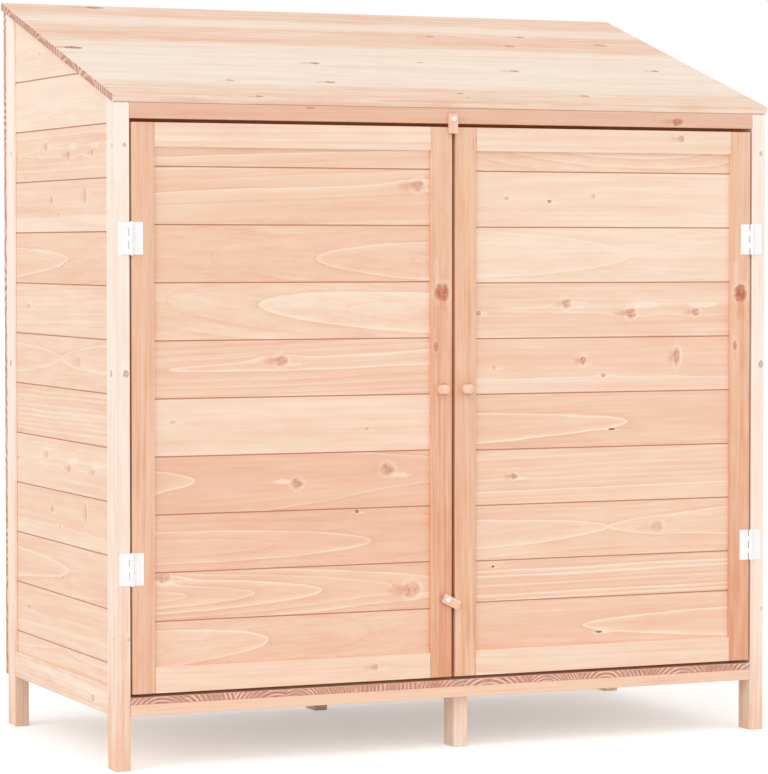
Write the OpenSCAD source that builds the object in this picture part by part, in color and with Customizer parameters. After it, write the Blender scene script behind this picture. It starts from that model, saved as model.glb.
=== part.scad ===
// Small garden shed on six legs, with a lean-to roof and a pair of framed, boarded doors.
// Millimetres. X runs across the front, Y from front to back, Z up.
// The origin is on the ground, under the middle of the shed's outer box.

/* [Body] */
// Width over the corner posts
body_w = 1014; // [700:1:1600]
// Depth from the front of the front posts to the back of the rear posts
body_d = 505; // [350:1:900]
// Height of the floor's top face above the ground
floor_top = 100; // [80:0.5:250]
// Height of the roof's underside at the front face
eave_h = 915; // [750:1:1500]
// Slope of the roof, rising from front to back, in degrees
roof_slope = 16.9; // [5:0.1:30]

/* [Frame] */
// Width of a post or leg, seen from the front
post_w = 21.5; // [16:0.5:45]
// Depth of a post or leg, seen from the side
post_d = 35; // [25:0.5:60]
// Thickness of the header and the floor rails, front to back
rail_d = 21; // [16:0.5:40]
// Height of the header over the doors, at the front face
header_h = 21.5; // [18:0.5:60]
// Height of the floor rails and the centre joist under the floor
floor_rail_h = 15.5; // [12:0.5:40]
// Height of the bottom rail of a side wall
side_rail_h = 38.5; // [25:0.5:80]
// Width of the joist under the middle of the floor
joist_w = 21; // [16:0.5:45]
// Width and height of the batten under each end of the roof
batten = 20; // [15:0.5:40]

/* [Boards] */
// Thickness of the wall and door boards
board_t = 9; // [7:0.5:12]
// How far the boards lie behind the face of the frame round them
recess = 5; // [3:0.5:8]
// Depth of the groove in the frame that holds the boards
seat = 8; // [4:0.5:12]
// Room left at the bottom of that groove
seat_gap = 1; // [0.5:0.1:2]
// Depth of the V joint between boards
vee = 2; // [1:0.1:3]
// Visible width of a wall board
wall_board_w = 74.3; // [50:0.1:150]
// Visible height of the lowest board of a side wall
wall_first_h = 31.8; // [20:0.1:80]
// Thickness of the back wall's boards
back_t = 11; // [8:0.5:20]
// Thickness of the floor panel
floor_t = 9.5; // [9:0.5:25]
// Room between the floor's sides and the posts
floor_gap = 0.5; // [0.2:0.1:3]
// Thickness of the roof panel
roof_t = 11; // [9:0.5:25]
// Overhang of the roof past each side
roof_side_reach = 3; // [0:0.5:60]
// Overhang of the roof's top edge past the front face
roof_front_reach = 2.4; // [1:0.1:60]
// Overhang of the roof's top edge past the back wall
roof_rear_reach = 3; // [0:0.5:60]

/* [Doors] */
// Thickness of a door's frame
door_t = 18; // [16:0.5:28]
// Gap between a door and its post
hinge_gap = 3; // [3:0.5:5.5]
// Gap between the two doors
meeting_gap = 5; // [4:0.5:10]
// Gap over and under the doors
door_gap = 5; // [4:0.5:10]
// Width of a door's stiles
stile_w = 33; // [26:0.5:60]
// Height of a door's top rail
top_rail_h = 33.5; // [22:0.5:70]
// Height of a door's bottom rail
bottom_rail_h = 36; // [22:0.5:70]
// Visible width of a door board
door_board_w = 79.7; // [50:0.1:150]
// Visible height of the left door's top board
left_top_board_h = 26; // [20:0.5:80]
// Visible height of the right door's top board
right_top_board_h = 28; // [20:0.5:80]
// Visible height of the left door's bottom board
left_bottom_board_h = 63; // [20:0.5:100]
// Visible height of the right door's bottom board
right_bottom_board_h = 69; // [20:0.5:100]
// Diameter of a door knob
knob_d = 18; // [14:0.5:26]
// How far a knob stands out from its door
knob_reach = 18; // [16:0.5:40]
// Diameter of a knob's neck
knob_neck_d = 11; // [8:0.5:13]
// Room between a knob's ball and its door
knob_foot = 1.5; // [0.5:0.1:3]
// Height of the knobs above the bottom edge of the doors
knob_rise = 411.5; // [150:0.5:520]

/* [Hinges] */
// Height of a hinge
hinge_h = 44.5; // [35:0.5:80]
// Width of a hinge leaf, from the pin's axis to its edge
leaf_w = 17.5; // [15:0.5:22]
// Thickness of a hinge leaf
leaf_t = 1.2; // [0.8:0.1:2]
// Outer diameter of the knuckles
knuckle_d = 6; // [5.5:0.1:8]
// Diameter of the hinge pin
pin_d = 3; // [2:0.1:3.6]
// Distance of the upper hinge's middle from the top edge of its door
upper_hinge_drop = 158.5; // [60:0.5:300]
// Distance of the lower hinge's middle from the bottom edge of its door
lower_hinge_rise = 172; // [60:0.5:300]

/* [Turn buttons] */
// Length of a turn button
button_l = 29; // [24:0.5:40]
// Width of a turn button
button_w = 13; // [12:0.5:17]
// Thickness of a turn button
button_t = 7; // [5:0.5:11]
// Distance of the screw from the button's near end
button_end = 8; // [6:0.5:10]
// Height of the top button's screw above the bottom edge of the header
top_button_rise = 6.5; // [5:0.5:12]
// Distance of the top button's screw to the left of the shed's middle
top_button_shift = 3; // [0:0.5:4]
// Height of the bottom button's screw above the bottom edge of the doors
bottom_button_rise = 111; // [70:0.5:160]
// Distance of the bottom button's screw from the closing edge of the left door
bottom_button_inset = 9; // [9:0.5:14]
// How far the bottom button points down from level, in degrees
bottom_button_tilt = 27; // [0:1:60]
// Diameter of a button's screw
screw_d = 4; // [3:0.1:5]
// Diameter of a button's screw head
screw_head_d = 7.5; // [6:0.1:10]
// Height of a button's screw head
screw_head_h = 2; // [1:0.1:3]
// Depth of a button's screw in the wood behind it
screw_bite = 14; // [8:0.5:15]

/* [Hidden] */
// Running room round a pin or screw, on the radius
pin_clear = 0.05;
// Room between the roof and the sloped tops that carry it
roof_bed = 0.2;
// Room between the knuckles of a hinge, and round the barrel of the other leaf
knuckle_gap = 0.4;
barrel_gap = 0.6;
// Room in front of and behind a turn button
button_gap = 0.5;
// How far a hinge pin shows past its barrel
pin_tip = 1;
// A hinge has this many knuckles, the even ones on the post's leaf
knuckle_count = 5;
// The narrowest board that is fitted
least_board = 40;
// What a cut runs past the face that it opens
past = 1;
$fn = 64;

// Colours of the pieces
pale_fir = "#EFD3B2";
warm_fir = "#E3B68C";
pink_fir = "#E8BE9A";
end_fir = "#B98A62";
white_metal = "#F1F0EC";
bright_metal = "#C9C9C6";

// Roof
roof_thick_y = roof_t * sin(roof_slope);
roof_w = body_w + 2 * roof_side_reach;
roof_s0 = (roof_thick_y - roof_front_reach) / cos(roof_slope);
roof_s1 = (body_d + back_t + roof_rear_reach + roof_thick_y) / cos(roof_slope);

// Places along Y, with the outer box centred on the origin
reach_y = max(knob_reach, 2 * button_gap + button_t + screw_head_h);
depth = reach_y + body_d + back_t + roof_rear_reach + roof_thick_y;
front_y = reach_y - depth / 2;
rear_y = front_y + body_d;

// Places along X
left_x = -body_w / 2;
post_in_x = left_x + post_w;
wall_in_x = left_x + recess + board_t;

// Heights
floor_low = floor_top - floor_t;
rail_low = floor_low - floor_rail_h;
side_rail_top = rail_low + side_rail_h;
header_low = eave_h - header_h;

// The left door, which the right one mirrors
door_x0 = post_in_x + hinge_gap;
door_x1 = -meeting_gap / 2;
door_z0 = floor_top + door_gap;
door_z1 = header_low - door_gap;
door_h = door_z1 - door_z0;
panel_z0 = door_z0 + bottom_rail_h;
panel_z1 = door_z1 - top_rail_h;
hold = seat - seat_gap;
pin_x = door_x0 - hinge_gap / 2;
pin_y = front_y - knuckle_d / 2;
hinge_heights = [door_z0 + lower_hinge_rise, door_z1 - upper_hinge_drop];
knob_x = door_x1 - stile_w / 2;
knob_z = door_z0 + knob_rise;
knob_spigot_d = knob_neck_d - 3;
knob_spigot_l = door_t - recess;

// Turn buttons
top_button_x = -top_button_shift;
top_button_z = header_low + top_button_rise;
bottom_button_x = door_x1 - bottom_button_inset;
bottom_button_z = door_z0 + bottom_button_rise;

// Height of the tops that carry the roof, at a place along Y
function roof_z(y) = eave_h - roof_bed + (y - front_y) * tan(roof_slope);

// Outline in Y and Z of a piece that stands between two places along Y and ends under the roof
function under_roof(y0, y1, z0) = [[y0, z0], [y1, z0], [y1, roof_z(y1)], [y0, roof_z(y0)]];

// Heights of the joints between a door's boards, for the visible heights of its top and bottom board
function door_joints(top_h, bottom_h) = concat(
    [panel_z0 + bottom_h],
    [for (z = [panel_z1 - top_h : -door_board_w : panel_z0 + bottom_h + least_board]) z]
);

// Radius of the sphere that makes a round cap of a given width and height
function cap_r(d, h) = (d * d / 4 + h * h) / (2 * h);

// Makes a left-hand piece right-handed
module on_side(side) {
    if (side == "left") children();
    else mirror([1, 0, 0]) children();
}

// Extrudes an outline in Y and Z along X
module along_x(x, length, points) {
    translate([x, 0, 0]) rotate([90, 0, 90]) linear_extrude(length) polygon(points);
}

// Cutter for a V joint that runs along X or along Y
module vee_x(length) {
    rotate([45, 0, 0]) cube([length, vee * sqrt(2), vee * sqrt(2)], center = true);
}
module vee_y(length) {
    rotate([0, 45, 0]) cube([vee * sqrt(2), length, vee * sqrt(2)], center = true);
}

// Post with a sloped top and a groove for the boards of the side wall, on the left side
module front_post(side) color(pale_fir) on_side(side) difference() {
    along_x(left_x, post_w, under_roof(front_y, front_y + post_d, 0));
    wall_groove(front_y + post_d - seat, seat + past);
}
module rear_post(side) color(pale_fir) on_side(side) difference() {
    along_x(left_x, post_w, under_roof(rear_y - post_d, rear_y, 0));
    wall_groove(rear_y - post_d - past, seat + past);
}
module wall_groove(y, length) {
    along_x(left_x + recess, board_t, under_roof(y, y + length, rail_low) + past * [[0, 0], [0, 0], [0, 1], [0, 1]]);
}

// Legs at the two ends of the centre joist, one on each side of it
module front_centre_leg() color(pale_fir) {
    translate([joist_w / 2, front_y + rail_d, 0]) cube([post_w, post_d, floor_low]);
}
module rear_centre_leg() color(pale_fir) {
    translate([-joist_w / 2 - post_w, rear_y - rail_d - post_d, 0]) cube([post_w, post_d, floor_low]);
}

// Rail over the doors, with the pilot hole for the top turn button's screw
module header_rail() color(warm_fir) difference() {
    along_x(post_in_x, -2 * post_in_x, under_roof(front_y, front_y + rail_d, header_low));
    translate([top_button_x, front_y - past, top_button_z]) pilot_hole();
}
module pilot_hole() {
    rotate([-90, 0, 0]) cylinder(d = screw_d + 2 * pin_clear, h = screw_bite + pin_clear + past);
}

// Floor: a rail at the front and back, a joist between them, and a panel of strips that run front to back
module front_floor_rail() color(warm_fir) floor_rail(front_y);
module rear_floor_rail() color(warm_fir) floor_rail(rear_y - rail_d);
module floor_rail(y) {
    translate([post_in_x, y, rail_low]) cube([-2 * post_in_x, rail_d, floor_rail_h]);
}
module centre_joist() color(pale_fir) {
    translate([-joist_w / 2, front_y + rail_d, rail_low]) cube([joist_w, body_d - 2 * rail_d, floor_rail_h]);
}
module floor_panel() color(end_fir) {
    x0 = post_in_x + floor_gap;
    translate([x0, front_y, floor_low]) cube([-2 * x0, body_d, floor_t]);
}

// Side wall: a bottom rail with a tongue at each end, and boards seated in it and in the posts
module bottom_rail(side) color(pink_fir) on_side(side) difference() {
    union() {
        translate([left_x, front_y + post_d, rail_low]) cube([post_w, body_d - 2 * post_d, side_rail_h]);
        translate([left_x + recess, front_y + post_d - hold, rail_low]) {
            cube([board_t, body_d - 2 * post_d + 2 * hold, side_rail_h - seat]);
        }
    }
    translate([left_x + recess, front_y, side_rail_top - seat]) cube([board_t, body_d, seat + past]);
}
module wall_boards(side) color(pink_fir) on_side(side) difference() {
    y0 = front_y + post_d - hold;
    y1 = rear_y - post_d + hold;
    along_x(left_x + recess, board_t, under_roof(y0, y1, side_rail_top - hold));
    for (z = [side_rail_top + wall_first_h : wall_board_w : roof_z(y1)]) {
        translate([left_x + recess, (y0 + y1) / 2, z]) vee_y(y1 - y0 + 2 * past);
    }
}

// Back wall: boards across the back of the rear posts
module back_wall_boards() color(pink_fir) difference() {
    along_x(left_x, body_w, under_roof(rear_y, rear_y + back_t, rail_low));
    for (z = [rail_low + wall_board_w : wall_board_w : roof_z(rear_y) - least_board]) {
        translate([0, rear_y + back_t, z]) vee_x(body_w + 2 * past);
    }
}

// Roof: a panel of strips that run across the shed, on a sloped batten inside each side wall
module roof_batten(side) color(pale_fir) on_side(side) {
    y0 = front_y + post_d;
    y1 = rear_y - post_d;
    along_x(wall_in_x, batten, [
        [y0, roof_z(y0) - batten], [y1, roof_z(y1) - batten], [y1, roof_z(y1)], [y0, roof_z(y0)]
    ]);
}
module roof_panel() color(warm_fir) translate([0, front_y, eave_h]) rotate([roof_slope, 0, 0]) {
    translate([-roof_w / 2, roof_s0, 0]) cube([roof_w, roof_s1 - roof_s0, roof_t]);
}

// Door frame: stiles over the full height, and rails between them with a tongue at each end
module stile(x, groove_x) difference() {
    translate([x, front_y, door_z0]) cube([stile_w, door_t, door_h]);
    translate([groove_x, front_y + recess, door_z0 - past]) cube([seat + past, board_t, door_h + 2 * past]);
}
module hinge_stile(side) color(warm_fir) on_side(side) {
    stile(door_x0, door_x0 + stile_w - seat);
}
module closing_stile(side) color(warm_fir) on_side(side) difference() {
    stile(door_x1 - stile_w, door_x1 - stile_w - past);
    translate([knob_x, front_y - past, knob_z]) rotate([-90, 0, 0]) {
        cylinder(d = knob_spigot_d + 2 * pin_clear, h = knob_spigot_l + pin_clear + past);
    }
    if (side == "left") translate([bottom_button_x, front_y - past, bottom_button_z]) pilot_hole();
}
module door_rail(z, height, groove_z) difference() {
    x0 = door_x0 + stile_w;
    length = door_x1 - door_x0 - 2 * stile_w;
    union() {
        translate([x0, front_y, z]) cube([length, door_t, height]);
        translate([x0 - hold, front_y + recess, z]) cube([length + 2 * hold, board_t, height]);
    }
    translate([door_x0, front_y + recess, groove_z]) cube([door_x1 - door_x0, board_t, seat + past]);
}
module top_rail(side) color(pale_fir) on_side(side) {
    door_rail(panel_z1, top_rail_h, panel_z1 - past);
}
module bottom_door_rail(side) color(pale_fir) on_side(side) {
    door_rail(door_z0, bottom_rail_h, panel_z0 - seat);
}

// Boards of a door, seated in the grooves of its frame
module door_boards(side, top_h, bottom_h) color(pink_fir) on_side(side) difference() {
    x0 = door_x0 + stile_w - hold;
    x1 = door_x1 - stile_w + hold;
    translate([x0, front_y + recess, panel_z0 - hold]) cube([x1 - x0, board_t, panel_z1 - panel_z0 + 2 * hold]);
    for (z = door_joints(top_h, bottom_h)) {
        translate([(x0 + x1) / 2, front_y + recess, z]) vee_x(x1 - x0 + 2 * past);
    }
}

// Turned knob: a ball on a short neck, with a spigot in the stile
module door_knob(side) color(pale_fir) on_side(side) translate([knob_x, front_y, knob_z]) rotate([90, 0, 0]) {
    ball_z = knob_reach - knob_d / 2;
    translate([0, 0, -knob_spigot_l]) cylinder(d = knob_spigot_d, h = knob_spigot_l);
    cylinder(d = knob_neck_d, h = ball_z);
    intersection() {
        translate([0, 0, ball_z]) sphere(d = knob_d);
        translate([0, 0, knob_foot]) cylinder(d = knob_d + past, h = knob_reach);
    }
}

// Butt hinge, laid on the faces of the post and the stile
module knuckles_of(first) {
    knuckle_h = hinge_h / knuckle_count;
    for (i = [first : 2 : knuckle_count - 1]) {
        translate([0, 0, i * knuckle_h + knuckle_gap / 2 - hinge_h / 2]) {
            cylinder(d = knuckle_d, h = knuckle_h - knuckle_gap);
            translate([-leaf_w / 2, knuckle_d / 2 - leaf_t, 0]) cube([leaf_w / 2, leaf_t, knuckle_h - knuckle_gap]);
        }
    }
}
module leaf(first) difference() {
    union() {
        translate([-leaf_w, knuckle_d / 2 - leaf_t, -hinge_h / 2]) {
            cube([leaf_w - knuckle_d / 2 - barrel_gap, leaf_t, hinge_h]);
        }
        knuckles_of(first);
    }
    translate([0, 0, -hinge_h / 2 - past]) cylinder(d = pin_d + 2 * pin_clear, h = hinge_h + 2 * past);
}
module at_hinges(side) on_side(side) {
    for (z = hinge_heights) translate([pin_x, pin_y, z]) children();
}
module hinge_post_leaves(side) color(white_metal) at_hinges(side) leaf(0);
module hinge_door_leaves(side) color(white_metal) at_hinges(side) mirror([1, 0, 0]) leaf(1);
module hinge_pins(side) color(bright_metal) at_hinges(side) {
    translate([0, 0, -hinge_h / 2 - pin_tip]) cylinder(d = pin_d, h = hinge_h + 2 * pin_tip);
}

// Turn button with its long end along -Z, and the round-headed screw that it turns on
module turn_button() difference() {
    translate([-button_w / 2, -button_gap - button_t, button_end - button_l]) cube([button_w, button_t, button_l]);
    translate([0, -button_gap - button_t - past, 0]) rotate([-90, 0, 0]) {
        cylinder(d = screw_d + 2 * pin_clear, h = button_t + 2 * past);
    }
}
module button_screw() rotate([90, 0, 0]) {
    head_z = 2 * button_gap + button_t;
    head_r = cap_r(screw_head_d, screw_head_h);
    translate([0, 0, -screw_bite]) cylinder(d = screw_d, h = screw_bite + head_z);
    intersection() {
        translate([0, 0, head_z + screw_head_h - head_r]) sphere(r = head_r);
        translate([0, 0, head_z]) cylinder(d = screw_head_d, h = screw_head_h);
    }
}
module top_button() color(warm_fir) translate([top_button_x, front_y, top_button_z]) turn_button();
module top_button_screw() color(bright_metal) translate([top_button_x, front_y, top_button_z]) button_screw();
module bottom_button() color(warm_fir) translate([bottom_button_x, front_y, bottom_button_z]) {
    rotate([0, bottom_button_tilt - 90, 0]) turn_button();
}
module bottom_button_screw() color(bright_metal) {
    translate([bottom_button_x, front_y, bottom_button_z]) button_screw();
}

front_post("left");  // front_post_left
front_post("right");  // front_post_right
rear_post("left");  // rear_post_left
rear_post("right");  // rear_post_right
front_centre_leg();
rear_centre_leg();
header_rail();
front_floor_rail();
rear_floor_rail();
centre_joist();
floor_panel();
bottom_rail("left");  // left_bottom_rail
bottom_rail("right");  // right_bottom_rail
wall_boards("left");  // left_wall_boards
wall_boards("right");  // right_wall_boards
back_wall_boards();
roof_batten("left");  // left_roof_batten
roof_batten("right");  // right_roof_batten
roof_panel();
hinge_post_leaves("left");  // left_hinge_post_leaves
hinge_post_leaves("right");  // right_hinge_post_leaves
hinge_pins("left");  // left_hinge_pins
hinge_pins("right");  // right_hinge_pins
hinge_stile("left");  // left_door_hinge_stile
closing_stile("left");  // left_door_closing_stile
top_rail("left");  // left_door_top_rail
bottom_door_rail("left");  // left_door_bottom_rail
door_boards("left", left_top_board_h, left_bottom_board_h);  // left_door_boards
door_knob("left");  // left_door_knob
hinge_door_leaves("left");  // left_hinge_door_leaves
hinge_stile("right");  // right_door_hinge_stile
closing_stile("right");  // right_door_closing_stile
top_rail("right");  // right_door_top_rail
bottom_door_rail("right");  // right_door_bottom_rail
door_boards("right", right_top_board_h, right_bottom_board_h);  // right_door_boards
door_knob("right");  // right_door_knob
hinge_door_leaves("right");  // right_hinge_door_leaves
top_button();
top_button_screw();
bottom_button();
bottom_button_screw();
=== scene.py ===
"""A small lean-to garden shed in planed fir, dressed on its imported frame.

Pieces are modelled in metres in the frame's own axes: X across the front, Y from front to back, Z up.
Sizes that a carpenter would name are written in millimetres and passed through mm().
"""

import logging
import math
import random
from collections.abc import Callable, Sequence
from dataclasses import dataclass, replace
from enum import Enum
from typing import Any

import bpy
import numpy as np
from mathutils import Matrix, Vector


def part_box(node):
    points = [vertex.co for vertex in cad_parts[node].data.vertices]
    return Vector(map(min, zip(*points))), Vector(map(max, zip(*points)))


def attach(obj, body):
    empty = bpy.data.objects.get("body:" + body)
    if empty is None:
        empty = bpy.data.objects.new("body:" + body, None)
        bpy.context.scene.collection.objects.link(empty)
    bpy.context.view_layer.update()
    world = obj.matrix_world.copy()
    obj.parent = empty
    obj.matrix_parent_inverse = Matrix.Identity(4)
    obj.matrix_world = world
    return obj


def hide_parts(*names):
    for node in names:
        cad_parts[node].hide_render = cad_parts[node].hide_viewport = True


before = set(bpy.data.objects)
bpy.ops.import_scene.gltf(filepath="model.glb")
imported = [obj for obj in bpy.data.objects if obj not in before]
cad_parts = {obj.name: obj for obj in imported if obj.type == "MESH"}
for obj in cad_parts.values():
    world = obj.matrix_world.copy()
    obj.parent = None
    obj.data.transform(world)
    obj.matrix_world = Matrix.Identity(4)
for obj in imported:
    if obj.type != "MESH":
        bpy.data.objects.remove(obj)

log = logging.getLogger("shed")

X, Y, Z = Vector((1, 0, 0)), Vector((0, 1, 0)), Vector((0, 0, 1))
# A face is square to a way where its normal goes at least this far along it.
SQUARE = 0.7


def mm(value: float) -> float:
    """Millimetres as metres."""
    return value * 0.001


def linear(code: str) -> tuple[float, float, float, float]:
    """A colour written as on a paint card, as the light that a surface sends back.

    Args:
        code: The colour as #RRGGBB.

    Returns:
        Red, green, blue and a full alpha, in linear light.
    """
    shares = [int(code[i : i + 2], 16) / 255 for i in (1, 3, 5)]
    light = [s / 12.92 if s <= 0.04045 else ((s + 0.055) / 1.055) ** 2.4 for s in shares]
    return (*light, 1.0)


def in_front(aside: float, above: float) -> Vector:
    """The way from the shed to a place in front of it.

    Args:
        aside: How far the place stands to the right of straight ahead, in radians.
        above: How far it stands above the horizon, in radians.

    Returns:
        The way.
    """
    return Vector((math.sin(aside) * math.cos(above), -math.cos(aside) * math.cos(above), math.sin(above)))


class Side(Enum):
    """The shed's two sides, as seen from the front."""

    LEFT = "left"
    RIGHT = "right"

    @property
    def sign(self) -> int:
        """The side's direction along X."""
        return -1 if self is Side.LEFT else 1


class Tip(Enum):
    """Which way the arches of a flat-sawn face point, seen from its start to its end."""

    BACK = -1
    BOTH = 0
    ON = 1


class Cut(Enum):
    """How a face of a stick was cut."""

    FACE = 0
    END = 1
    JOINT = 2
    EDGE = 3


class Value:
    """A number that travels along a material's links, with the sums that the finishes need."""

    def __init__(self, recipe: "Recipe", socket: bpy.types.NodeSocket) -> None:
        """Keeps the recipe and the socket that the number leaves by."""
        self.recipe = recipe
        self.socket = socket

    def _sum(self, operation: str, *terms: "Value | float") -> "Value":
        """Adds one Math node for an operation on the terms."""
        return self.recipe.node("ShaderNodeMath", {"operation": operation}, dict(enumerate(terms)))

    def __add__(self, other: "Value | float") -> "Value":
        """Self plus other."""
        return self._sum("ADD", self, other)

    def __radd__(self, other: float) -> "Value":
        """Other plus self."""
        return self._sum("ADD", other, self)

    def __sub__(self, other: "Value | float") -> "Value":
        """Self less other."""
        return self._sum("SUBTRACT", self, other)

    def __rsub__(self, other: float) -> "Value":
        """Other less self."""
        return self._sum("SUBTRACT", other, self)

    def __mul__(self, other: "Value | float") -> "Value":
        """Self times other."""
        return self._sum("MULTIPLY", self, other)

    def __rmul__(self, other: float) -> "Value":
        """Other times self."""
        return self._sum("MULTIPLY", other, self)

    def __truediv__(self, other: "Value | float") -> "Value":
        """Self over other."""
        return self._sum("DIVIDE", self, other)

    def __pow__(self, other: "Value | float") -> "Value":
        """Self to a power."""
        return self._sum("POWER", self, other)

    def root(self) -> "Value":
        """The square root."""
        return self._sum("SQRT", self)

    def wave(self) -> "Value":
        """The sine."""
        return self._sum("SINE", self)

    def part(self) -> "Value":
        """What is left past the whole number."""
        return self._sum("FRACT", self)

    def whole(self) -> "Value":
        """The whole number below."""
        return self._sum("FLOOR", self)

    def most(self, other: "Value | float") -> "Value":
        """The larger of two."""
        return self._sum("MAXIMUM", self, other)

    def same(self, other: "Value | float") -> "Value":
        """1 where two whole numbers are the same, else 0."""
        return self._sum("COMPARE", self, other, 0.5)

    def ease(self, start: float, end: float) -> "Value":
        """Passes smoothly from 0 to 1.

        Args:
            start: Where it is still 0.
            end: Where it has come to 1, which may be the smaller of the two.

        Returns:
            The eased number.
        """
        low, high = min(start, end), max(start, end)
        stops = (0.0, 1.0) if end > start else (1.0, 0.0)
        return self.recipe.node(
            "ShaderNodeMapRange",
            {"interpolation_type": "SMOOTHSTEP"},
            {"Value": self, "From Min": low, "From Max": high, "To Min": stops[0], "To Max": stops[1]},
        )


class Recipe:
    """The nodes of one material or world."""

    def __init__(self, tree: bpy.types.NodeTree) -> None:
        """Starts from an empty tree."""
        self.tree = tree
        tree.nodes.clear()

    def node(
        self,
        kind: str,
        settings: dict[str, Any] | None = None,
        inputs: dict[str | int, Any] | None = None,
        output: str | int = 0,
    ) -> Value:
        """Adds a node.

        Args:
            kind: The node's type.
            settings: Its properties. The key stops holds a ramp's places and colours.
            inputs: Values or links for its sockets, by name or number.
            output: The socket that is handed on, by name or number.

        Returns:
            The output as a value.
        """
        made = self.tree.nodes.new(kind)
        for key, setting in (settings or {}).items():
            if key == "stops":
                self._set_stops(made.color_ramp, setting)
            else:
                setattr(made, key, setting)
        for key, given in (inputs or {}).items():
            if isinstance(given, Value):
                self.tree.links.new(given.socket, made.inputs[key])
            else:
                made.inputs[key].default_value = given
        return Value(self, made.outputs[output] if made.outputs else None)

    @staticmethod
    def _set_stops(ramp: bpy.types.ColorRamp, stops: Sequence[tuple[float, str]]) -> None:
        """Sets a ramp's places and colours.

        Args:
            ramp: The ramp.
            stops: The place and colour of each stop.
        """
        while len(ramp.elements) < len(stops):
            ramp.elements.new(1.0)
        for element, (place, code) in zip(ramp.elements, stops):
            element.position = place
            element.color = linear(code)

    def ramp(self, place: Value, stops: Sequence[tuple[float, str]]) -> Value:
        """A colour read off a ramp."""
        return self.node("ShaderNodeValToRGB", {"stops": stops}, {"Fac": place})

    def mix(self, share: Value | float, first: Any, second: Any) -> Value:
        """Two colours mixed by a share, which is held between 0 and 1."""
        return self.node("ShaderNodeMix", {"data_type": "RGBA"}, {0: share, 6: first, 7: second}, 2)

    def parts(self, name: str) -> tuple[Value, Value, Value]:
        """The three numbers of a piece's own attribute."""
        vector = self.node("ShaderNodeAttribute", {"attribute_name": name}, output="Vector")
        return self.split(vector)

    def split(self, vector: Value) -> tuple[Value, Value, Value]:
        """The three numbers of a vector."""
        apart = self.node("ShaderNodeSeparateXYZ", {}, {"Vector": vector}).socket.node
        return tuple(Value(self, socket) for socket in apart.outputs)

    def place(self) -> Value:
        """Object coordinates, in metres."""
        return self.node("ShaderNodeTexCoord", output="Object")

    def join(self, x: Any, y: Any, z: Any) -> Value:
        """Three numbers as a vector."""
        return self.node("ShaderNodeCombineXYZ", {}, {"X": x, "Y": y, "Z": z})

    def noise(self, vector: Value, detail: float = 2.0, scale: float = 1.0) -> Value:
        """Soft noise, from -0.5 to 0.5."""
        inputs = {"Vector": vector, "Scale": scale, "Detail": detail}
        return self.node("ShaderNodeTexNoise", {}, inputs) - 0.5

    def chance(self, number: Value) -> Value:
        """A fixed random number from 0 to 1 for each number."""
        return self.node("ShaderNodeTexWhiteNoise", {"noise_dimensions": "1D"}, {"W": number})

    def bump(self, height: Value, strength: float, distance: float) -> Value:
        """A surface normal raised by a height."""
        inputs = {"Height": height, "Strength": strength, "Distance": distance}
        return self.node("ShaderNodeBump", {}, inputs)

    def seen(self) -> Value:
        """Tells the rays that look at the studio from those that light the shed.

        Returns:
            1 for a ray from the camera, or one that metal or glass sends on, else 0.
        """
        rays = self.node("ShaderNodeLightPath").socket.node
        camera, glossy, through = (
            Value(self, rays.outputs[f"Is {kind} Ray"]) for kind in ("Camera", "Glossy", "Transmission")
        )
        return camera.most(glossy).most(through)

    def surface(self, inputs: dict[str, Any]) -> None:
        """Ends a material with its shader."""
        shader = self.node("ShaderNodeBsdfPrincipled", {}, inputs)
        self.node("ShaderNodeOutputMaterial", {}, {"Surface": shader})


@dataclass(frozen=True)
class Finish:
    """A material for one of the record's slots."""

    slot: str

    def material(self) -> bpy.types.Material:
        """Finds the finish's material, and mixes it the first time.

        Returns:
            The material.
        """
        name = f"dressed_{self.slot}"
        made = bpy.data.materials.get(name)
        if made is None:
            made = bpy.data.materials.new(name)
            made.use_nodes = True
            self.mix(Recipe(made.node_tree))
        return made

    def mix(self, r: Recipe) -> None:
        """Adds the material's nodes to its recipe."""
        raise NotImplementedError


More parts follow.
